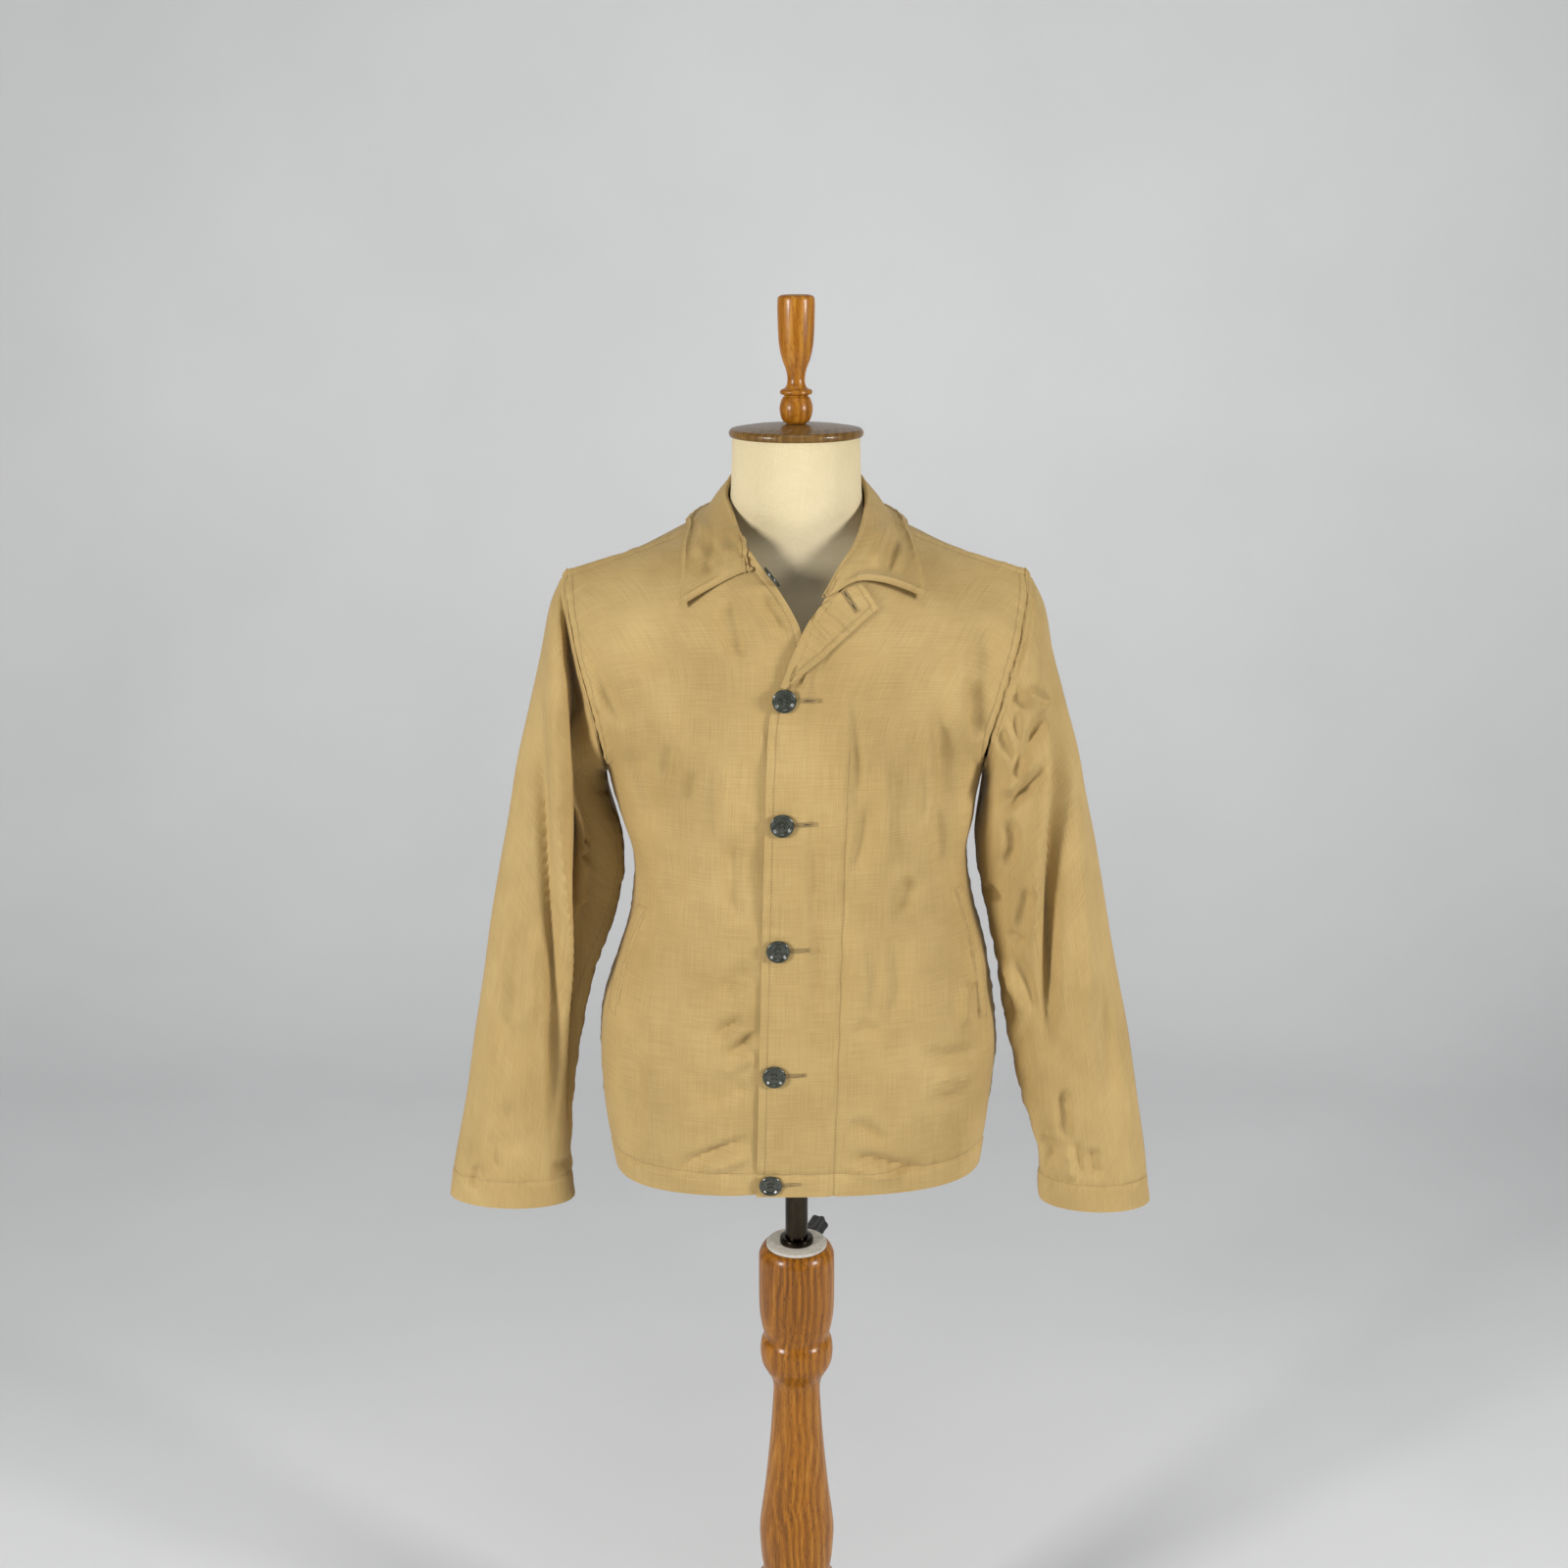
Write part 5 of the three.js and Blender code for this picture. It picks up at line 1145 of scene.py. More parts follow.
def sleeve(name, hand, rows, front_creases, back_creases):
    t = np.linspace(0, SLEEVE_LAST_ROW, SLEEVE_ROWS + 1)[:, None]
    angle = (2 * math.pi * np.arange(SLEEVE_SIDES) / SLEEVE_SIDES)[None, :]
    t2, angle2 = np.broadcast_arrays(t, angle)
    grid = sleeve_oval(rows, hand, t2, angle2)
    hold = (np.maximum(0, 1 - t / 3) ** 2)[..., None]
    start = sleeve_oval(rows, hand, np.zeros_like(angle2[:1]), angle2[:1])
    grid = grid + (armhole(hand, SLEEVE_SIDES)[None] - start) * hold
    grid[..., 0] += hand * 0.4 * hold[..., 0]
    normals = normals_of(grid, hand, True)
    down, around = lengths(grid, 0), lengths(grid, 1)
    x, z = grid[..., 0], grid[..., 2]
    facing = np.sin(angle2)
    lift = creases(x, z, front_creases) * smooth(facing * 2)
    lift += creases(x, z, back_creases) * smooth(-facing * 2)
    if hand < 0:
        lift += ledge(x, z) * smooth(facing * 2.2)
    else:
        aside = x - np.interp(z, *INNER_SEAM)
        drawn = groove(aside, 3, 0.7) + pucker(87, down, aside, 12, 1.2, 10)
        lift += drawn * smooth(facing * 2.5) * smooth((960 - z) / 50)
    lift += undulation(65 if hand > 0 else 68, around, down)
    lift *= smooth(down / 22) * smooth((down[-1:] - down) / 24)
    cuff = down[-1:] - down
    seed = 70 if hand > 0 else 80
    lift += 0.5 * smooth((CUFF_HEM - cuff) / 1.5) + groove(cuff - CUFF_HEM, 1.5, 0.45)
    lift += pucker(seed, around, cuff - CUFF_HEM, 8, 0.45, 10)
    lift += groove(down - SEAM_STITCH, 1.4, 0.4) + pucker(seed + 2, around, down - 3, 8, 0.6, 13)
    inner = (angle2 - math.pi) * around[:, -1:] / (2 * math.pi)
    lift += groove(inner, 2.0, 0.7) + groove(inner - hand * SEAM_STITCH, 1.4, 0.3)
    lift += pucker(seed + 4, down, inner, 9, 0.7, 12)
    grid = grid + normals * lift[..., None]
    tuck = np.array((1, 0.35))[:, None, None]
    inward = unit(grid[:1] - grid[2:3])
    grid[:2] += tuck * (TUCK_IN * inward - TUCK_UNDER * normals[:1])
    normals = normals_of(grid, hand, True)
    made = shell(name, grid, normals, CLOTH, around, down, True, hand)
    return made, grid, normals, down, around


sleeve_left, sl_grid, sl_normals, sl_down, sl_around = sleeve(
    "sleeve_left_cloth", 1, SLEEVE_LEFT, SLEEVE_LEFT_CREASES, SLEEVE_LEFT_BACK)
sleeve_right, sr_grid, sr_normals, sr_down, sr_around = sleeve(
    "sleeve_right_cloth", -1, SLEEVE_RIGHT, SLEEVE_RIGHT_CREASES, SLEEVE_RIGHT_BACK)


# What lies on the panels
def tree_of(*grids):
    points, faces, start = [], [], 0
    for grid, outward in grids:
        rows, columns = grid.shape[:2]
        points.append(grid.reshape(-1, 3))
        faces.append(grid_faces(rows, columns, start, False, outward < 0))
        start += rows * columns
    return BVHTree.FromPolygons(np.concatenate(points).tolist(), np.concatenate(faces).tolist())


left_tree = tree_of((left_grid, 1))
right_tree = tree_of((right_grid, -1))
back_halves = (back_grid[:, :middle + 1], -1), (back_grid[:, middle + 1:], -1)
panels = tree_of((left_grid, 1), (right_grid, -1), *back_halves)


def on_panel(tree, x, z, height):
    """The point of a front that the front view shows at x and z, moved out by a height."""
    place, normal, _, _ = tree.ray_cast(Vector((x, -400, z)), Vector((0, 1, 0)))
    if place is None:
        place, normal, _, _ = tree.find_nearest(Vector((x, -60, z)))
    normal = normal if normal.y < 0 else -normal
    return np.array(place + normal * height), np.array(normal)


def level_place(tree, x, z, height, reach):
    """Like on_panel, but with the mean direction of the cloth within reach, as a stiff disc rests."""
    around = [on_panel(tree, x + dx, z + dz, height) for dx, dz in
              ((0, 0), (reach, 0), (-reach, 0), (0, reach), (0, -reach))]
    return around[0][0], unit(np.mean([normal for _, normal in around], axis=0))


def clear_of(point, height):
    place, normal, _, _ = panels.find_nearest(Vector(point))
    distance = (Vector(point) - place).dot(normal)
    if abs(distance) < 40 and distance < height:
        return point + np.array(normal) * (height - distance)
    return point


COLLAR_CREASES = [
    (6, -2.2, 86, 1382, 76, 1364, 71, 1344),
    (5, 1.4, 95, 1372, 88, 1356, 84, 1340),
    (5, -1.2, 98, 1366, 95, 1352, 93, 1338),
    (6, -1.6, -84, 1384, -89, 1366, -91, 1350),
    (5, 1.1, -74, 1372, -80, 1354, -84, 1340),
    (5, -1, -62, 1370, -66, 1352, -69, 1338),
    (7, -1.2, -60, 1412, -40, 1418, -20, 1416),
]


def collar_section(columns, hand, t):
    lines = ("sx sy sz", "cx cy cz", "lx ly lz")
    seam, crest, edge = (triple(columns, names, t, hand) for names in lines)
    out = (edge - crest) * (1, 1, 0)
    out = out / np.linalg.norm(out)
    up = np.array((0, 0, 1))

    def at(o, z):
        return crest + out * o * COLLAR_ROLL + up * z * COLLAR_ROLL

    inside, outside = at(-1, -1), at(1, -1)
    section = [seam, (seam + inside) / 2, inside, at(-0.7, -0.3), at(0, 0), at(0.7, -0.3), outside]
    throat = THROAT_BOW * float(smooth(1 - t)) if hand > 0 else 0
    for f in (0.25, 0.5, 0.75, 1):
        bow = LEAF_BOW * math.sin(math.pi * f) + throat * math.sin(math.pi * f ** 0.7)
        section.append(outside + (edge - outside) * f + up * bow)
    return spline_points(section, COLLAR_STEPS)


def make_collar():
    grid = []
    steps = np.arange(COLLAR_STEPS)
    rise = LEAF_RISE * (steps > COLLAR_STEPS * 0.3)
    rise += EDGE_RISE * smooth(steps / COLLAR_STEPS * 6 - 5)
    for k in range(COLLAR_STATIONS + 1):
        across = 2 * k / COLLAR_STATIONS - 1
        columns, hand = (COLLAR_RIGHT, -1) if across < 0 else (COLLAR_LEFT, 1)
        section = collar_section(columns, hand, COLLAR_LAST_ROW * (1 - abs(across)))
        grid.append([clear_of(p, LAYER_GAP + COLLAR_CLOTH + r) for p, r in zip(section, rise)])
    grid = np.array(grid)
    grid = soften(soften(grid, 2).transpose(1, 0, 2), 1).transpose(1, 0, 2)
    normals = normals_of(grid, 1)
    along, down = lengths(grid, 0), lengths(grid, 1)
    edge = down[:, -1:] - down
    ends = np.minimum(along, along[-1:] - along)
    on_leaf = smooth((down - 30) / 20)
    lift = groove(edge - COLLAR_STITCH, 1.7, 0.8) + groove(ends - COLLAR_STITCH, 1.4, 0.6) * (down > 45)
    lift += creases(grid[..., 0], grid[..., 2], COLLAR_CREASES) * smooth((down - 24) / 8)
    lift += pucker(91, along, edge - COLLAR_STITCH, 7, 0.3, 7) * on_leaf
    lift += 0.5 * noise(93, along / 34, down / 18) * on_leaf * smooth(edge / 12)
    grid, normals = raised(grid, normals, lift, 1)
    made = shell("collar_cloth", grid, normals, -COLLAR_CLOTH, along, down)
    outer = grid + normals * COLLAR_CLOTH
    return made, outer, normals, along, down


collar, collar_grid, collar_normals, collar_along, collar_down = make_collar()


def make_lapel():
    rows, columns = LAPEL_ROWS, LAPEL_COLUMNS
    grid = np.empty((rows + 1, columns + 1, 3))
    for r in range(rows + 1):
        t = r / rows * LAPEL_LAST_ROW
        ix, iz, ox, oz = (float(spline(LAPEL[k], t)) for k in ("ix", "iz", "ox", "oz"))
        for c in range(columns + 1):
            f = c / columns
            bow = 1.2 * math.sin(math.pi * f)
            rise = LAYER_GAP + CLOTH + bow + 1.2 * f + 1.6 * max(0, r / rows - 0.7)
            grid[r, c] = on_panel(left_tree, ix + (ox - ix) * f, iz + (oz - iz) * f, rise)[0]
    normals = normals_of(grid, 1)
    up, along = lengths(grid, 0), lengths(grid, 1)
    edge = along[:, -1:] - along
    lift = groove(edge - COLLAR_STITCH, 1.2, 0.35) * smooth(along / 6)
    lift += pucker(95, up, edge - COLLAR_STITCH, 7, 0.3, 7)
    top = up[-1:] - up
    lift += groove(top - LAPEL_TOP_STITCH, 1.2, 0.35) * smooth(along / 6)
    grid, normals = raised(grid, normals, lift, 1)
    made = shell("facing_left_cloth", grid, normals, CLOTH, along, up)
    return made, grid, normals, up, along


lapel, lapel_grid, lapel_normals, lapel_up, lapel_along = make_lapel()


def make_pocket(name, tree, x1, z1, x2, z2, bow, seed):
    rows, columns = POCKET_ROWS, POCKET_COLUMNS
    hand = 1 if x1 > 0 else -1
    grid = np.empty((rows + 1, columns + 1, 3))
    for r in range(rows + 1):
        f = r / rows
        x = x1 + (x2 - x1) * f + bow * math.sin(math.pi * f)
        ends = float(smooth(f / 0.05) * smooth((1 - f) / 0.05))
        for c in range(columns + 1):
            w = (c / columns - 0.5) * POCKET_WIDTH * hand
            crown = POCKET_CROWN * (1 - (2 * c / columns - 1) ** 4) * ends
            grid[r, c] = on_panel(tree, x + w, z1 + (z2 - z1) * f, CLOTH + crown - POCKET_SINK)[0]
    normals = normals_of(grid, -hand)
    up, along = lengths(grid, 0), lengths(grid, 1)
    lift = pucker(seed, up, along - POCKET_WIDTH / 2, 8, 0.7, 5)
    grid, normals = raised(grid, normals, lift, -hand)
    made = shell(name, grid, normals, CLOTH, along, up, outward=-hand)
    return made, grid, normals


pocket_left, pl_grid, pl_normals = make_pocket(
    "pocket_left_cloth", left_tree, 157, 1030, 184, 892, 5, 97)
pocket_right, pr_grid, pr_normals = make_pocket(
    "pocket_right_cloth", right_tree, -149, 1012, -182, 898, -5, 99)


# Stitching
UNDERARM = int(UNDERARM_ROW / LAST_ROW * PANEL_ROWS)


def path(grid, normals, rows, columns):
    rows, columns = np.broadcast_arrays(np.asarray(rows, float), np.asarray(columns, float))
    return sample(grid, rows, columns), sample(normals, rows, columns)


def down_column(grid, normals, along, distance, count):
    """A run beside column 0, at a distance from it, over the first rows."""
    rows = np.arange(count)
    return path(grid, normals, rows, column_at(along, distance)[rows])


def front_runs(grid, normals, up, along):
    from_side = along[:, -1:] - along
    side = column_at(from_side[:, ::-1], SEAM_STITCH)
    runs = [down_column(grid, normals, along, EDGE_STITCH, len(grid))]
    hem_rows = row_at(up, HEM)
    runs.append(path(grid, normals, hem_rows, np.arange(grid.shape[1])))
    rows = np.arange(UNDERARM, PANEL_ROWS - 4)
    runs.append(path(grid, normals, rows, PANEL_COLUMNS - side[rows]))
    shoulder = PANEL_ROWS - row_at((up[-1:] - up)[::-1], SEAM_STITCH)
    runs.append(path(grid, normals, shoulder, np.arange(grid.shape[1])))
    return runs


left_runs = front_runs(left_grid, left_normals, left_up, left_along)
facing_rows = int(0.55 * PANEL_ROWS)
left_runs.append(down_column(left_grid, left_normals, left_along, FACING_WIDTH, facing_rows))
right_runs = front_runs(right_grid, right_normals, right_up, right_along)


def back_runs():
    runs = []
    hem_rows = row_at(back_up, HEM)
    columns = np.delete(np.arange(back_grid.shape[1]), middle)
    runs.append(path(back_grid, back_normals, hem_rows[columns], columns))
    rows = np.arange(UNDERARM, PANEL_ROWS - 4)
    for sign, along in ((1, back_along), (-1, -back_along[:, ::-1])):
        half = along[:, middle + 1:]
        from_side = (half[:, -1:] - half)[:, ::-1]
        side = column_at(from_side, SEAM_STITCH)[rows]
        columns = back_grid.shape[1] - 1 - side if sign > 0 else side
        runs.append(path(back_grid, back_normals, rows, columns))
    return runs


def sleeve_runs(grid, normals, down, around, hand):
    wrapped = np.concatenate([grid, grid[:, :1]], 1)
    wrapped_normals = np.concatenate([normals, normals[:, :1]], 1)
    columns = np.arange(SLEEVE_SIDES + 1)
    wrapped_down = np.concatenate([down, down[:, :1]], 1)
    cuff_rows = SLEEVE_ROWS - row_at((wrapped_down[-1:] - wrapped_down)[::-1], CUFF_HEM)
    runs = [path(wrapped, wrapped_normals, cuff_rows, columns)]
    runs.append(path(wrapped, wrapped_normals, row_at(wrapped_down, 2.2), columns))
    turn = SLEEVE_SIDES / around[:, -1]
    rows = np.arange(SLEEVE_ROWS + 1)
    for offset in (1.6, SEAM_STITCH + 1):
        runs.append(path(wrapped, wrapped_normals, rows, SLEEVE_SIDES / 2 + hand * offset * turn))
    return runs


def collar_runs():
    from_edge = (collar_down[:, -1:] - collar_down)[:, ::-1]
    columns = COLLAR_STEPS - 1 - column_at(from_edge, COLLAR_STITCH)
    rows = np.arange(COLLAR_STATIONS + 1)
    keep = (collar_along[:, -1] > 5) & (collar_along[-1, -1] - collar_along[:, -1] > 5)
    runs = [path(collar_grid, collar_normals, rows[keep], columns[keep])]
    crest = int(COLLAR_STEPS * 0.5)
    across = np.arange(crest, COLLAR_STEPS - 3)
    first = row_at(collar_along, COLLAR_STITCH)[across]
    last = COLLAR_STATIONS - row_at((collar_along[-1:] - collar_along)[::-1], COLLAR_STITCH)[across]
    runs.append(path(collar_grid, collar_normals, first, across))
    runs.append(path(collar_grid, collar_normals, last, across))
    return runs


def lapel_runs():
    from_edge = (lapel_along[:, -1:] - lapel_along)[:, ::-1]
    columns = LAPEL_COLUMNS - column_at(from_edge, COLLAR_STITCH)
    rows = np.arange(8, len(lapel_grid) - 3)
    runs = [path(lapel_grid, lapel_normals, rows, columns[rows])]
    across = np.arange(2, lapel_grid.shape[1] - 3)
    top = LAPEL_ROWS - row_at((lapel_up[-1:] - lapel_up)[::-1], LAPEL_TOP_STITCH)[across]
    runs.append(path(lapel_grid, lapel_normals, top, across))
    return runs


def pocket_runs(grid, normals):
    rows = np.arange(len(grid))
    return [path(grid, normals, rows, np.full(len(rows), c)) for c in (1.3, 8.7)]


RUNS = {
    "front_left": left_runs,
    "front_right": right_runs,
    "back": back_runs(),
    "sleeve_left": sleeve_runs(sl_grid, sl_normals, sl_down, sl_around, 1),
    "sleeve_right": sleeve_runs(sr_grid, sr_normals, sr_down, sr_around, -1),
    "collar": collar_runs(),
    "facing_left": lapel_runs(),
    "pocket_left": pocket_runs(pl_grid, pl_normals),
    "pocket_right": pocket_runs(pr_grid, pr_normals),
}
threads = {name: stitches("stitching_" + name, runs) for name, runs in RUNS.items()}


# Buttons: half of the section, as shares of the radius
BUTTON_SHAPE = (
    (0, 0.02), (0.5, 0.02), (0.82, 0.03), (0.95, 0.08), (1, 0.17), (0.98, 0.25), (0.9, 0.31),
    (0.79, 0.29), (0.7, 0.21), (0.62, 0.155), (0.5, 0.15), (0.25, 0.16), (0, 0.16),
)
HOLE_OFFSET = 0.24     # share of the radius from a button's middle to the middle of a hole


def button_mesh(radius):
    """A polished four-hole button: raised rim, dished middle, round edge."""
    profile = curved(np.array(BUTTON_SHAPE) * radius, 4)
    profile[0, 0] = profile[-1, 0] = 0
    disc = turned("button_blank", profile, resin, "form", 64)
    for k in range(4):
        bpy.ops.mesh.primitive_cylinder_add(vertices=20, radius=0.1 * radius * MM, depth=radius * MM)
        drill = bpy.context.object
        angle = math.pi / 4 + k * math.pi / 2
        away = HOLE_OFFSET * radius * MM
        drill.location = (away * math.cos(angle), away * math.sin(angle), 0.1 * radius * MM)
        cut = disc.modifiers.new("hole", "BOOLEAN")
        cut.operation = "DIFFERENCE"
        cut.object = drill
        bpy.context.view_layer.update()
        done = bpy.data.meshes.new_from_object(disc.evaluated_get(bpy.context.evaluated_depsgraph_get()))
        disc.modifiers.clear()
        disc.data = done
        bpy.data.objects.remove(drill)
    mesh = disc.data
    shade_smooth(mesh)
    mesh.set_sharp_from_angle(angle=math.radians(38))
    bpy.data.objects.remove(disc)
    return mesh


def tube(centre_line, radius, sides=8):
    line = np.asarray(centre_line, float)
    along = unit(np.gradient(line, axis=0))
    seed_axis = np.array((0.3, 0.2, 0.93))
    across = unit(np.cross(along, seed_axis))
    up = np.cross(across, along)
    turn = np.linspace(0, 2 * math.pi, sides, endpoint=False)
    rings = (line[:, None] + radius * (np.cos(turn)[None, :, None] * across[:, None]
                                       + np.sin(turn)[None, :, None] * up[:, None]))
    points = rings.reshape(-1, 3)
    faces = grid_faces(len(line), sides, 0, True).tolist()
    faces.append(list(range(sides))[::-1])
    faces.append(list(range(len(points) - sides, len(points))))
    return points, faces


def joined(parts):
    points, faces, start = [], [], 0
    for p, f in parts:
        points.append(p)
        faces.extend([[i + start for i in face] for face in f])
        start += len(p)
    return np.concatenate(points), faces


def placed(points, centre, axis, spin=0.0):
    """Points round the Z axis moved so that Z points along axis at centre."""
    axis = unit(np.asarray(axis, float))
    sideways = unit(np.cross((0, 0, 1), axis))
    upright = np.cross(axis, sideways)
    c, s = math.cos(spin), math.sin(spin)
    first, second = sideways * c + upright * s, upright * c - sideways * s
    return centre + points[:, :1] * first + points[:, 1:2] * second + points[:, 2:] * axis


big_button = button_mesh(BUTTON_RADIUS)
small_button = button_mesh(CUFF_BUTTON_RADIUS)


def make_button(name, mesh, radius, centre, axis, spin):
    data = mesh.copy()
    flat = np.empty(len(data.vertices) * 3)
    data.vertices.foreach_get("co", flat)
    moved = placed(flat.reshape(-1, 3) / MM, centre, axis, spin) * MM
    data.vertices.foreach_set("co", moved.ravel())
    data.update()
    button = linked(name + "_resin", data)
    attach(button, "form")
    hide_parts(name)
    hole = HOLE_OFFSET * radius * math.sqrt(0.5)
    top = 0.165 * radius
    bars = []
    for sign in (-1, 1):
        for shift in (-0.35, 0.35):
            y = sign * hole + shift
            line = [(-hole, y, 0.02 * radius), (-hole * 0.95, y, top + 0.1), (0, y, top + 0.55),
                    (hole * 0.95, y, top + 0.1), (hole, y, 0.02 * radius)]
            bars.append(tube(spline_points(line, 14), 0.34))
    points, faces = joined(bars)
    thread = new_object(name + "_thread", placed(points, centre, axis, spin), faces, dark_thread)


button_places = [level_place(left_tree, x, z, LAYER_GAP, BUTTON_RADIUS) for x, z in BUTTONS]
for k, (centre, axis) in enumerate(button_places):
    make_button(f"button_{k + 2}", big_button, BUTTON_RADIUS, centre, axis, 0.12 * math.sin(3 * k + 1))
top_axis = unit(np.array((0.79, 0.1, 0.6)))
top_place = front_surface(-1, np.array([[TOP_BUTTON_ROW]]), np.array([[0.0]]))[0, 0]
make_button("button_1", big_button, BUTTON_RADIUS, top_place + top_axis * LAYER_GAP, top_axis, 0.4)


# Buttonholes
def buttonhole(name, centre, normal, direction, length, gap=0.5):
    """Worked with close bars of thread on both lips and a tack at each end, round a slit whose opening is a
    near-black strip: painted shadow.
    """
    normal = unit(np.asarray(normal, float))
    along = unit(np.asarray(direction, float) - normal * np.dot(direction, normal))
    across = np.cross(normal, along)
    half = length / 2
    parts = []
    for k, at in enumerate(np.arange(-half + 0.5, half - 0.4, 0.62)):
        for side in (-1, 1):
            inner = gap * (1 - (at / half) ** 2) + 0.15
            reach = 1.55 + 0.12 * math.sin(5 * k + side)
            loop = ((inner, -0.25), (inner + 0.25, 0.28), ((inner + reach) / 2, 0.36),
                    (inner + reach - 0.2, 0.2), (inner + reach, -0.2))
            line = [centre + along * at + across * side * w + normal * h for w, h in loop]
            parts.append(tube(spline_points(line, 8), 0.3, 5))
    for end in (-1, 1):
        for step in range(3):
            at = end * (half + 0.25 + 0.4 * step)
            bar = ((-TACK / 2, -0.2), (-TACK / 2 + 0.4, 0.3), (0, 0.45), (TACK / 2 - 0.4, 0.3),
                   (TACK / 2, -0.2))
            line = [centre + along * at + across * w + normal * h for w, h in bar]
            parts.append(tube(spline_points(line, 9), 0.32, 5))
    worked = new_object(name, *joined(parts), khaki_thread)
    # The slit: a thin V-shaped near-black strip along the hole, painted shadow where the cut opens.
    points, faces = [], []
    steps = 16
    for k in range(steps + 1):
        at = (2 * k / steps - 1) * (half - 0.3)
        wide = max(gap * (1 - (at / half) ** 2), 0.02) + 0.12
        on_line = centre + along * at
        points += [on_line + across * wide + normal * 0.08, on_line + normal * -0.3,
                   on_line - across * wide + normal * 0.08]
        if k:
            c = 3 * k
            faces += [[c - 3, c - 2, c + 1, c], [c - 2, c - 1, c + 2, c + 1]]
    slit = new_object(name + "_slit", points, faces, painted_slit_shadow)
    return worked, slit


holes = []
for k, (centre, axis) in enumerate(button_places):
    x, z = BUTTONS[k]
    at, normal = on_panel(left_tree, x + 17, z, 0.1)
    tip, _ = on_panel(left_tree, x + 28, z + 0.5, 0.1)
    holes += buttonhole(f"buttonhole_{k + 2}", at, normal, tip - at, HOLE_LENGTH)
lapel_tree = tree_of((lapel_grid, 1))
at, normal = on_panel(lapel_tree, 48, 1321, 0.1)
tip, _ = on_panel(lapel_tree, 52.5, 1314, 0.1)
holes += buttonhole("buttonhole_1", at, normal, tip - at, LAPEL_HOLE_LENGTH, gap=0.9)


def make_cuff_button(name, hand, rows):
    t = np.arange(0, SLEEVE_LAST_ROW, 0.01)
    heights = sleeve_oval(rows, hand, t, np.full(t.shape, CUFF_BUTTON_ANGLE))[:, 2]
    t0 = t[np.argmax(heights <= CUFF_BUTTON_HEIGHT)]
    step = 0.05

    def at(dt, da):
        return sleeve_oval(rows, hand, np.array([t0 + dt]), np.array([CUFF_BUTTON_ANGLE + da]))[0]

    normal = unit(np.cross(at(0, step) - at(0, -step), at(step, 0) - at(-step, 0))) * hand
    make_button(name, small_button, CUFF_BUTTON_RADIUS, at(0, 0) + normal * LAYER_GAP, normal, 0.3)


make_cuff_button("cuff_button_left", 1, SLEEVE_LEFT)
make_cuff_button("cuff_button_right", -1, SLEEVE_RIGHT)


# Form and stand
def make_form():
    rows, sides = FORM_ROWS, FORM_SIDES
    t = np.linspace(0, len(FORM["z"]) - 1, rows + 1)[:, None]
    angle = np.linspace(0, 2 * math.pi, sides, endpoint=False)[None, :]
    c, s = np.cos(angle), np.sin(angle)
    power = 2 / spline(FORM["power"], t)
    depth = np.where(s < 0, spline(FORM["front"], t), spline(FORM["back"], t))
    x = spline(FORM["half"], t) * np.sign(c) * np.abs(c) ** power
    y = depth * np.sign(s) * np.abs(s) ** power
    z = np.broadcast_to(spline(FORM["z"], t), x.shape)
    grid = soften(np.stack([x, y, z], -1), 24)
    up, around = lengths(grid, 0), lengths(grid, 1)
    points = grid.reshape(-1, 3)
    faces = grid_faces(rows + 1, sides, 0, True).tolist()
    close_ends(faces, sides, len(points), len(points) + 1, rows * sides)
    points = np.concatenate([points, [(0, 0, FORM_FOOT), (0, 0, NECK_TOP)]])
    uv = np.concatenate([np.stack([around, up], -1).reshape(-1, 2), [(0, 0), (0, 0)]]) * MM
    made = new_object("form_cover", points, faces, canvas, uv=uv)
    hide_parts("torso_form")
    return made


form = make_form()


def stand_in(name, node_name, profile, material, body, sides=96):
    made = turned(name, profile, material, body, sides)
    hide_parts(node_name)
    return made


rim = NECK_TOP + TOUCH
cap_line = [
    (0, rim), (CAP_RADIUS - 1.5, rim), (CAP_RADIUS, rim + 2), (CAP_RADIUS, rim + 5),
    (CAP_RADIUS - 2, rim + 7.5), (45, rim + 10), (20, CAP_TOP), (0, CAP_TOP),
]
stand_in("neck_cap_turned", "neck_cap", rounded(cap_line, 5, 2.0), stained, "form")
foot = CAP_TOP + TOUCH
finial_line = [
    (9, foot), (13.4, foot + 4), (15.65, foot + 14), (13.4, foot + 23), (11, foot + 26),
    (14.65, foot + 27.5), (14.65, foot + 31), (10, foot + 33.5), (8.2, foot + 40), (9.4, foot + 49),
    (13.4, foot + 60), (16.2, foot + 74), (17.25, foot + 95), (17.25, FINIAL_TOP - 5),
    (15.5, FINIAL_TOP - 1.2), (12, FINIAL_TOP),
]
finial_line = [(0, foot), *curved(finial_line, 5).tolist(), (0, FINIAL_TOP)]
stand_in("finial_turned", "finial", finial_line, beech, "form", 72)
base_line = [
    (0, 0), (BASE_RADIUS - 4, 0), (BASE_RADIUS, 4), (BASE_RADIUS, BASE_HEIGHT - 10),
    (BASE_RADIUS - 4, BASE_HEIGHT - 4), (BASE_RADIUS - 14, BASE_HEIGHT), (0, BASE_HEIGHT),
]
stand_in("base_turned", "base", rounded(base_line, 6, 5), beech, "stand", 128)
foot = BASE_HEIGHT + TOUCH
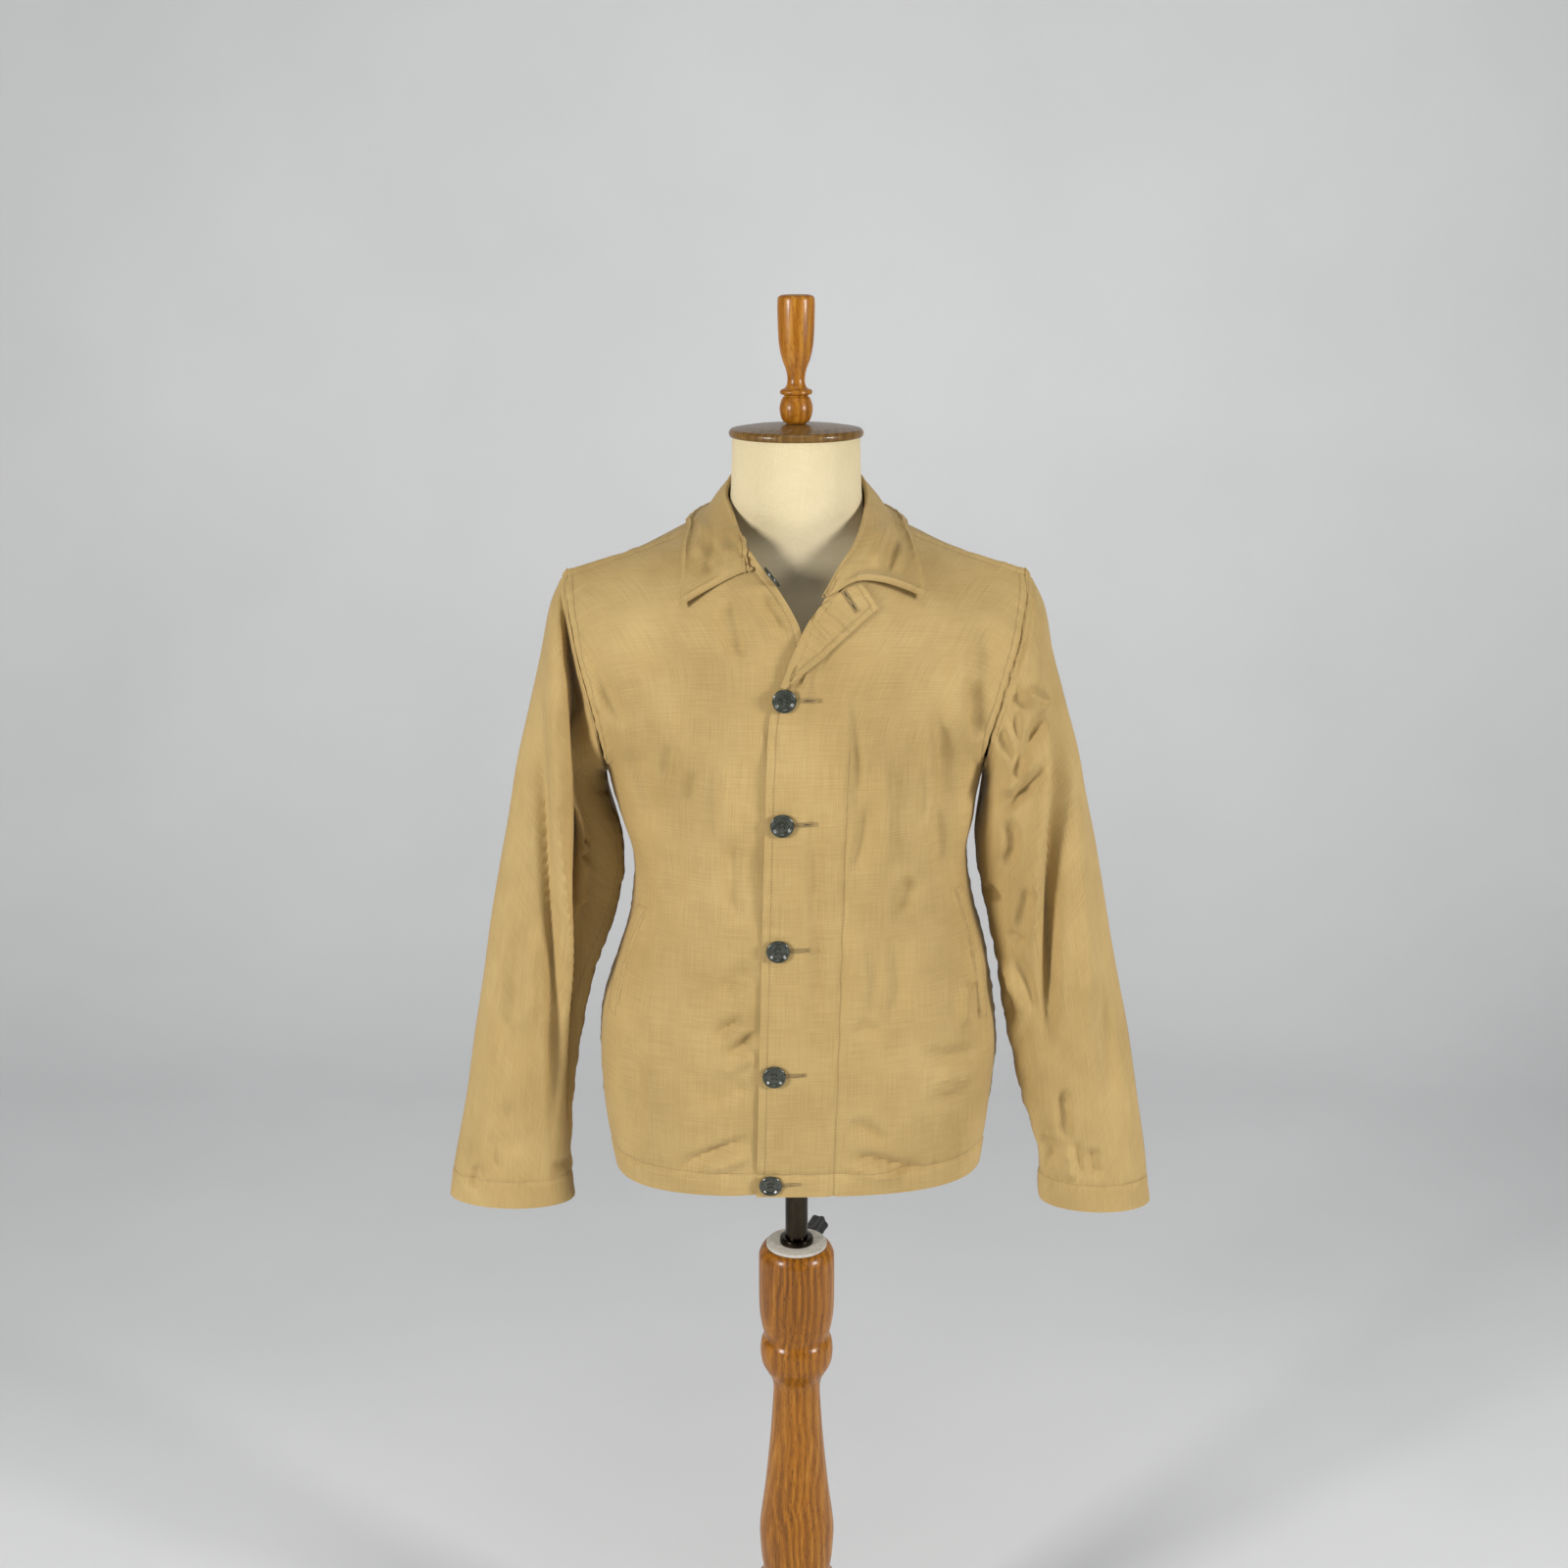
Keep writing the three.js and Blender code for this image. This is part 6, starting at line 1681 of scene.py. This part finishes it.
column_line = [
    (70, foot), (72, foot + 6), (66, foot + 14), (52, foot + 22), (44, foot + 46), (37, foot + 110),
    (33, foot + 150), (36, foot + 158), (44, foot + 164), (46.5, foot + 176), (44, foot + 190),
    (38, foot + 198), (36, foot + 208), (38.2, 250), (39.4, 266), (39.8, 290), (34, 337), (28.5, 393),
    (25.3, 440), (24.8, 458), (26.8, 468), (28.6, 472), (32, 478), (36.8, 488), (38.3, 501),
    (37, 512), (34, 519), (36.6, 530), (38.8, 545), (39.5, 562),
    (39.5, COLUMN_TOP - 17), (38.6, COLUMN_TOP - 8), (35.5, COLUMN_TOP - 2), (32.5, COLUMN_TOP),
]
bore = [(BORE_RADIUS, COLUMN_TOP), (BORE_RADIUS, BORE_FLOOR), (0, BORE_FLOOR)]
column_line = [(0, foot), *curved(column_line, 4).tolist(), *bore]
stand_in("column_turned", "column", column_line, beech, "stand")


def ring_profile(inner, outer, bottom, top, edge):
    return [(inner, bottom), (outer, bottom), (outer, top - edge), (outer - 0.3 * edge, top - 0.3 * edge),
            (outer - edge, top), (inner, top), (inner, bottom)]


low = COLUMN_TOP + TOUCH
plate_line = ring_profile(BORE_RADIUS, PLATE_RADIUS, low, low + PLATE_HEIGHT, 1.2)
stand_in("column_plate_disc", "column_plate", plate_line, washer, "stand")
low = low + PLATE_HEIGHT + TOUCH
bush_line = ring_profile(BORE_RADIUS, BUSH_RADIUS, low, low + BUSH_HEIGHT, 2)
stand_in("pole_collar_ring", "pole_collar", bush_line, steel, "swivel", 72)
pole_top = FORM_FOOT - TOUCH
pole_line = [(0, POLE_FOOT), (POLE_RADIUS, POLE_FOOT), (POLE_RADIUS, pole_top), (0, pole_top)]
stand_in("pole_tube", "pole", pole_line, steel, "form", 64)


def make_knob():
    sides = KNOB_SIDES
    # Along the axis: distance from the pole, radius, share of the fluting
    line = [(39.9, 6, 0), (45, 6, 0), (46, 6, 0), (47, 9.5, 0.06), (53, 10.2, 0.1), (66, 11, 0.12),
            (74, 11, 0.1), (76, 8.5, 0.04)]
    profile = spline_points(line, 40)
    angle = np.linspace(0, 2 * math.pi, sides, endpoint=False)
    rings = []
    for along, radius, flute in profile:
        r = radius * (1 - flute + flute * np.cos(6 * angle))
        rings.append(np.stack([r * np.cos(angle), r * np.sin(angle), np.full(sides, along)], -1))
    points = np.concatenate(rings + [np.array([(0, 0, profile[0, 0]), (0, 0, profile[-1, 0])])])
    faces = grid_faces(len(profile), sides, 0, True).tolist()
    n = len(profile) * sides
    close_ends(faces, sides, n, n + 1, n - sides)
    axis = (math.sin(KNOB_AZIMUTH), math.cos(KNOB_AZIMUTH), 0)
    points = placed(points, np.array((0, 0, KNOB_HEIGHT)), axis)
    made = new_object("clamp_knob_grip", points, faces, moulded, "knob")
    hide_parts("clamp_knob")


make_knob()

# The part each cloth stands in for, which is hidden, and the cloth's cut
CUTS = {
    "front_left": (front_left, (0.31, 0.67), 0.165),
    "front_right": (front_right, (0.29, 0.67), 0.15),
    "back": (back, (0.52, 0.69), 0.3),
    "sleeve_left": (sleeve_left, (0.42, 0.68), 0.2),
    "sleeve_right": (sleeve_right, (0.42, 0.67), 0.2),
    "collar": (collar, (0.46, 0.09), 0.038),
    "facing_left": (lapel, (0.125, 0.042), 0.004),
    "pocket_left": (pocket_left, (0.02, 0.145), None),
    "pocket_right": (pocket_right, (0.028, 0.125), None),
}
for node_name, (piece, flat, area) in CUTS.items():
    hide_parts(node_name)


# Floor, light and camera
def make_stage():
    """A pale floor that turns up into a pale wall far behind."""
    across = np.linspace(-6000, 6000, 3)
    line = [(-5000, 0)] + [(y, 0) for y in np.linspace(-4000, 1800, 6)]
    for a in np.linspace(0, math.pi / 2, 16)[1:]:
        line.append((1800 + 1200 * math.sin(a), 1200 - 1200 * math.cos(a)))
    line.append((3000, 5000))
    grid = np.array([[(x, y, z) for x in across] for y, z in line])
    material, tree, shader, place = base_material("pale_floor")
    cloud = stretched_noise(tree, place, (1.5, 1.5, 1.5), 3, 0.5)
    stops = ((0.3, (0.75, 0.76, 0.77)), (0.7, (0.80, 0.81, 0.82)))
    link(tree, ramp(tree, cloud, stops), shader.inputs["Base Color"])
    shader.inputs["Roughness"].default_value = 0.8
    mesh = bpy.data.meshes.new("floor")
    faces = grid_faces(len(line), 3, 0, False).tolist()
    mesh.from_pydata((grid.reshape(-1, 3) * MM).tolist(), [], faces)
    mesh.materials.append(material)
    shade_smooth(mesh)
    floor = linked("floor", mesh)


make_stage()


def area_light(name, place, aim, size, power, colour=(1, 1, 1)):
    data = bpy.data.lights.new(name, "AREA")
    data.shape = "RECTANGLE"
    data.size, data.size_y = size
    data.energy = power
    data.color = colour
    light = linked(name, data)
    light.location = place
    light.rotation_euler = (Vector(aim) - Vector(place)).to_track_quat("-Z", "Y").to_euler()


area_light("left_light", (-2.5, -2.1, 1.85), (0, 0, 1.02), (0.7, 0.9), 104, (1, 0.985, 0.96))
area_light("right_light", (2.8, -1.7, 1.85), (0, 0, 1.02), (0.7, 0.9), 96, (1, 0.985, 0.965))
area_light("top_light", (0.1, -0.9, 3.2), (0, 0, 1.2), (1.2, 1.2), 9)
world = bpy.data.worlds.new("studio")
world.use_nodes = True
sky = world.node_tree.nodes["Background"]
sky.inputs["Color"].default_value = (0.8, 0.83, 0.88, 1)
sky.inputs["Strength"].default_value = 0.12
bpy.context.scene.world = world

camera_data = bpy.data.cameras.new("camera")
camera_data.sensor_width = 36
camera_data.lens = 47.25
camera = linked("camera", camera_data)
camera.location = (-0.011, -1.95, 1.65)
camera.rotation_euler = (math.radians(90 - 15.2), math.radians(0.12), 0)
bpy.context.scene.camera = camera

bpy.context.scene.view_settings.view_transform = "Standard"
